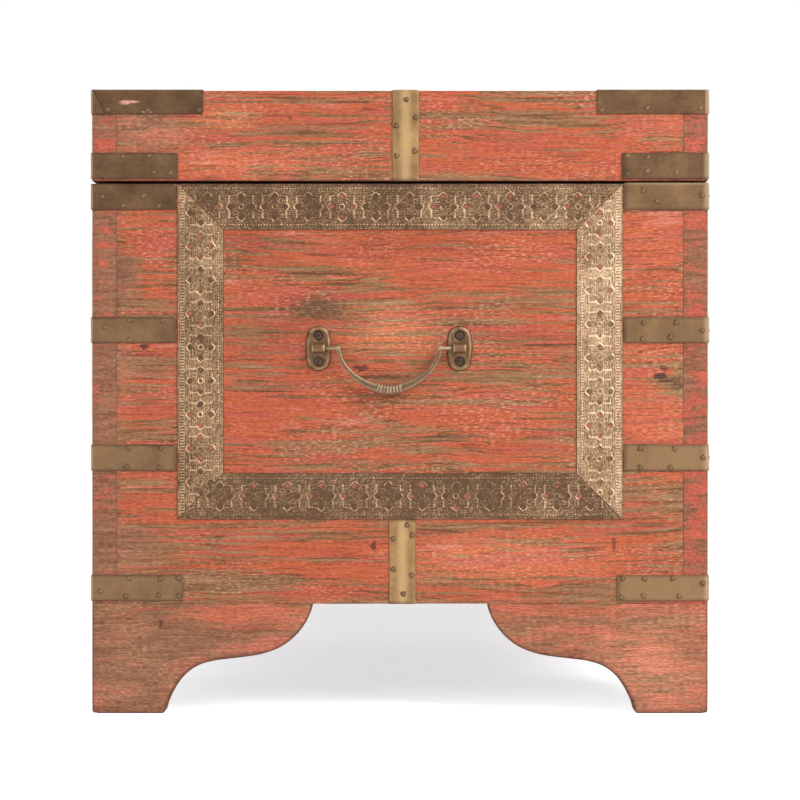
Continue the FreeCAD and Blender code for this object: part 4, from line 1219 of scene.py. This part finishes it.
# Turned forms: radius and place along the axis
BOSS = (
    (0.0015, -0.0049), (0.0026, -0.0049), (0.0032, -0.0043), (0.0033, -0.003), (0.0033, 0.003),
    (0.0032, 0.0043), (0.0026, 0.0049), (0.0015, 0.0049), (0.0015, 0.002),
)
KNOB = ((0.0015, -0.0006), (0.0020, 0.0003), (0.0019, 0.0010), (0.0012, 0.0018), (0.0, 0.0021))
PIN = (
    (0.0, -0.002), (0.0016, -0.0018), (0.0020, -0.0006), (0.0019, 0.0010), (0.0014, 0.0018),
    (0.0014, 0.0148), (0.0, 0.0150),
)


def plate_height(rim, far):
    """Height of an eye plate's face, by the distances in from its outline and from the nearer screw."""
    height = PLATE_THICK * unit(rim / PLATE_ROUND) ** 0.5 - PLATE_DISH * unit((rim - 0.0026) / 0.003)
    return height - SINK_DEPTH * unit((SINK_RADIUS - far) / SINK_SLOPE)


def lathe(pile, centre, axis, profile, count, edge):
    """A turned form about an axis that lies across the x axis."""
    side = Vector((1, 0, 0))
    axis = Vector(axis)
    other = axis.cross(side)
    points = []
    for radius, place in profile:
        for turn in circle(count):
            spoke = side * math.cos(turn) + other * math.sin(turn)
            points.append(Vector(centre) + axis * place + spoke * radius)
    pile.add(points, grid_faces(len(profile), count, True), edge=edge)


def eye_plate(pile, side_x, centre_y):
    """A cast plate with round ends, two countersinks and the boss that the bail's pin turns in."""
    points, edge, dirt = [], [], []
    for ring in range(PLATE_RINGS + 1):
        share = ring / PLATE_RINGS
        rim = PLATE_HALF * (1.0 - share)
        for turn in circle(PLATE_SIDES):
            y = share * PLATE_HALF * math.cos(turn)
            z = PLATE_SPREAD * max(-1.0, min(1.0, 1.6 * math.sin(turn))) + share * PLATE_HALF * math.sin(turn)
            far = min(math.hypot(y, z - place) for place in (-PLATE_SCREW, PLATE_SCREW))
            height = plate_height(rim, far) if share < 1 else 0.0
            points.append((side_x * (HALF_LENGTH + height), centre_y + y, HANDLE_Z + z))
            # Painted shade in the countersinks and round the outline where the plate meets the wood, light
            # grime elsewhere; patches of the rounded rim rubbed and given painted highlights
            dirt.append(0.9 if far < SINK_RADIUS else 0.15 if share < 1 else 0.75)
            patchy = float(unit(wobble(y * 170, z * 170, centre_y * 50) * 1.3 + 0.45))
            edge.append(patchy if 0.0008 < rim < PLATE_ROUND else 0.0)
    pile.add(points, grid_faces(PLATE_RINGS + 1, PLATE_SIDES, True), edge=edge, dirt=dirt)
    count = 28
    # A painted highlight on the boss's rounded shoulders
    shine = [1.0 if place in (1, 2, 5, 6) else 0.0 for place in range(len(BOSS)) for _ in range(count)]
    lathe(pile, (side_x * (HALF_LENGTH + STANDOFF), centre_y, HANDLE_Z), (0, 1, 0), BOSS, count, shine)


def screw_head(pile, centre, outward, slot_turn):
    """A slotted screw head that sits in its countersink."""
    outward, side, other = facing(outward)
    points, dirt = [], []
    for ring in range(SCREW_RINGS + 1):
        share = ring / SCREW_RINGS
        for turn in circle(SCREW_SIDES):
            a = SCREW_RADIUS * share * math.cos(turn)
            b = SCREW_RADIUS * share * math.sin(turn)
            inside_slot = abs(a * math.sin(slot_turn) - b * math.cos(slot_turn)) < SLOT_HALF
            height = -SCREW_SUNK - SCREW_DOME * share**2.5 - (SLOT_DEPTH if inside_slot else 0.0)
            points.append(Vector(centre) + side * a + other * b + outward * height)
            # Painted shade in the slot and round the rim, light grime elsewhere
            dirt.append(0.9 if inside_slot or share > 0.9 else 0.2)
    pile.add(points, grid_faces(SCREW_RINGS + 1, SCREW_SIDES, True), dirt=dirt)


def grip_radius(distance):
    """Radius of the bail at a distance along it from the middle of the grip."""
    if abs(distance) > GRIP_HALF:
        fall = min(1.0, (abs(distance) - GRIP_HALF) / BAIL_TAPER)
        return BAIL_RADIUS - BAIL_THINNING * math.sin(math.pi / 2 * fall)
    return GRIP_RADIUS + RING_HEIGHT * math.sin(math.pi * (distance / RING_PITCH % 1.0)) ** 0.7


def bowed(value):
    """Draws an ellipse's flanks in a little, as the bail's arms run."""
    return math.copysign(abs(value) ** 1.13, value)


def bail_rod(pile, centre):
    """The bent rod, thicker to its middle, with the rings of the grip."""
    turns = np.linspace(0.0, math.pi, BAIL_STEPS + 1)
    path = [
        Vector((0.0, BAIL_HALF_SPAN * bowed(math.cos(t)), -BAIL_DROP * bowed(math.sin(t)))) for t in turns
    ]
    runs = [0.0]
    for first, second in zip(path, path[1:]):
        runs.append(runs[-1] + (second - first).length)
    points, edge, dirt = [], [], []
    for index, (place, run) in enumerate(zip(path, runs)):
        from_middle = run - runs[-1] / 2
        radius = grip_radius(from_middle)
        top = radius > TOP_RADIUS
        hollow = radius < HOLLOW_RADIUS and abs(from_middle) < HOLLOW_REACH
        along_path = (path[min(BAIL_STEPS, index + 1)] - path[max(0, index - 1)]).normalized()
        inward = Vector((1, 0, 0)).cross(along_path).normalized()
        for turn in circle(BAIL_SIDES):
            spoke = Vector((math.cos(turn), 0, 0)) + inward * math.sin(turn)
            points.append(centre + place + spoke * radius)
            # Rubbed ring tops and grime in their hollows; elsewhere painted highlights on the rod's two flanks
            # as seen from the end, and a painted dark reflection down its middle
            side_on = abs(math.sin(turn))
            worn = 0.50 + 0.45 * wobble(run * 260, turn * 0.9, 3.0)
            edge.append(worn if top else 1.15 * max(0.0, (side_on - 0.40) / 0.60))
            dirt.append(0.8 if hollow else 0.0 if top else 0.45 * max(0.0, 1.0 - side_on * 1.5))
    pile.add(points, grid_faces(len(path), BAIL_SIDES, True), edge=edge, dirt=dirt)


def make_bail(side_x, body, node, material):
    centre = Vector((side_x * (HALF_LENGTH + STANDOFF), HANDLE_OFFSET, HANDLE_Z))
    pile = Pile()
    bail_rod(pile, centre)
    for side in (-1, 1):
        knob = centre + Vector((0, side * BAIL_HALF_SPAN, 0))
        lathe(pile, knob, (0, 0, 1), KNOB, BAIL_SIDES, 0.6)
        lathe(pile, knob, (0, side, 0), PIN, 20, 0.5)
    pile.build(node + "_bar", [material], body, node)


def make_handles(cast, turned, steel):
    for side_name, side_x in (("left", -1), ("right", 1)):
        plates = Pile()
        screws = Pile()
        for index, side in enumerate((-1, 1)):
            centre_y = HANDLE_OFFSET + side * HANDLE_HALF_PITCH
            eye_plate(plates, side_x, centre_y)
            for number, lift in enumerate((-PLATE_SCREW, PLATE_SCREW)):
                place = (side_x * (HALF_LENGTH + PLATE_THICK - 0.0004), centre_y, HANDLE_Z + lift)
                screw_head(screws, place, (side_x, 0, 0), 0.7 + 1.1 * index + 2.3 * number)
        node = side_name + "_handle_"
        plates.build(side_name + "_eye_plates", [cast], "chest_body", node + "plates")
        screws.build(side_name + "_eye_screws", [steel], "chest_body", node + "screws")
        make_bail(side_x, side_name + "_bail", node + "bail", turned)


# Stage

# Each lamp's place, what it points at, its size in metres and its power in watts
LAMPS = {
    "key": ((-1.5, -1.7, 1.7), (-0.35, 0.0, 0.22), 1.3, 57.0),
    "fill": ((-2.0, 1.7, 1.2), (-0.3, 0.0, 0.25), 1.6, 13.0),
    "top": ((0.2, -0.2, 2.6), (0.0, 0.0, 0.3), 2.0, 30.0),
}
WORLD_LIGHT = 0.42


def make_floor():
    """A white floor that keeps the object's shadow; what is seen of it glows so that it stays white, and glows
    more in places under the chest, painted light that softens that shadow.
    """
    bpy.ops.mesh.primitive_plane_add(size=60.0)
    floor = bpy.context.object
    floor.name = "floor"
    g = Material("floor_white")
    x, y = (g.node("SeparateXYZ", axis, {0: g.coords}) for axis in (0, 1))
    # Painted light under the chest: the glow rises towards the shown end, over the far half and towards the
    # long sides
    near = 0.14 * g.between(x, -0.270, -0.470)
    far = 0.055 * g.between(x, -0.100, 0.150)
    sides = 0.04 * g.between(g.maths("ABSOLUTE", y), 0.040, 0.220)
    strength = near + far + (sides + 0.655)
    plain = g.node("BsdfDiffuse", 0, {"Color": (0.80, 0.80, 0.80)})
    # A faint blue in the seen colours offsets the red light that the chest throws on the floor
    shaded = g.node("BsdfDiffuse", 0, {"Color": (0.825, 0.830, 0.860)})
    glow = g.node("Emission", 0, {"Color": (0.992, 0.998, 1.018), "Strength": strength})
    g.plug(g.surface, g.by_ray(plain, g.node("AddShader", 0, {0: shaded, 1: glow})))
    floor.data.materials.append(g.made)


def make_world():
    world = bpy.data.worlds.new("studio")
    bpy.context.scene.world = world
    world.use_nodes = True
    g = Nodes(world.node_tree, "ShaderNodeOutputWorld")
    white = (1.0, 1.0, 1.0)
    light, seen = (g.node("Background", 0, {"Color": white, "Strength": s}) for s in (WORLD_LIGHT, 1.0))
    g.plug(g.surface, g.by_ray(light, seen))


def make_lamps():
    for name, (place, target, size, watts) in LAMPS.items():
        data = bpy.data.lights.new(name, "AREA")
        data.size = size
        data.energy = watts
        lamp = bpy.data.objects.new(name, data)
        lamp.location = place
        lamp.rotation_euler = (Vector(target) - Vector(place)).to_track_quat("-Z", "Y").to_euler()
        bpy.context.scene.collection.objects.link(lamp)


def make_camera():
    """The photograph's level view of the left end, at the distance where a pixel is its size on that end."""
    data = bpy.data.cameras.new("camera")
    data.sensor_width = SENSOR
    data.lens = LENS
    camera = bpy.data.objects.new("camera", data)
    distance = PHOTO_SIDE * PIXEL * LENS / SENSOR
    camera.location = (-HALF_LENGTH - SKIN / 2 - distance, 0.0, photo_z(PHOTO_SIDE / 2))
    camera.rotation_euler = (math.radians(90), 0.0, math.radians(-90))
    bpy.context.scene.collection.objects.link(camera)
    bpy.context.scene.camera = camera


# Brass and steel by slot: a dull colour and a bright one for rubbed edges and painted highlights, and for some
# the grain's axis and the mottle's scale
METALS = {
    "antique_brass_strap": ((0.124, 0.068, 0.033), (0.42, 0.31, 0.19)),
    "centre_strap_brass": ((0.275, 0.160, 0.068), (0.52, 0.35, 0.17), 2),
    "nail_brass": ((0.150, 0.088, 0.042), (0.36, 0.25, 0.14)),
    "cast_handle_brass": ((0.165, 0.089, 0.043), (0.45, 0.31, 0.17), 1, 240.0),
    "turned_handle_brass": ((0.160, 0.104, 0.057), (0.58, 0.43, 0.28), 1, 240.0),
    "hinge_brass": ((0.220, 0.140, 0.065), (0.42, 0.31, 0.18), 0),
    "screw_steel": ((0.075, 0.048, 0.034), (0.25, 0.19, 0.14)),
    "stay_steel": ((0.120, 0.110, 0.100), (0.34, 0.32, 0.30), 2),
}
# Embossed brass: colours for the hollows, the middle and the raised lines, the low one patina with painted
# shade and the high one a painted highlight
EMBOSSED = ((0.100, 0.052, 0.025), (0.35, 0.215, 0.115), (0.74, 0.55, 0.36))


def main():
    bpy.context.scene.view_settings.view_transform = "Standard"
    make_camera()
    make_floor()
    make_world()
    make_lamps()
    paint = [painted_wood("painted_wood_long", 0), painted_wood("painted_wood_end", 1)]
    ends = painted_end_grain("painted_end_grain")
    bare = [bare_wood("bare_wood_long", 0), bare_wood("bare_wood_cross", 1)]
    metals = {name: strap_brass(name, *values) for name, values in METALS.items()}
    emboss = embossed_brass("embossed_brass", *EMBOSSED)
    slots = {**metals, "embossed_brass": emboss, "painted_foot_wood": paint[1], "bare_wood": bare[0]}
    make_body(paint, ends, bare)
    make_lid(paint, ends)
    make_feet(paint, ends, bare)
    for entry in frame["record"]["subparts"]:
        if entry["material_slot"] in slots:
            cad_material(entry["node"], slots[entry["material_slot"]])
    make_straps(metals["antique_brass_strap"])
    make_centre_straps(metals["centre_strap_brass"])
    make_nails(metals["nail_brass"])
    make_frame("left_end_brass_frame", -1, emboss, 0.00043, SHOWN_TONES)
    make_frame("right_end_brass_frame", 1, emboss, 0.00055, PLAIN_TONES)
    make_frame("front_brass_frame", "front", emboss, 0.00062, PLAIN_TONES)
    make_handles(metals["cast_handle_brass"], metals["turned_handle_brass"], metals["screw_steel"])


main()
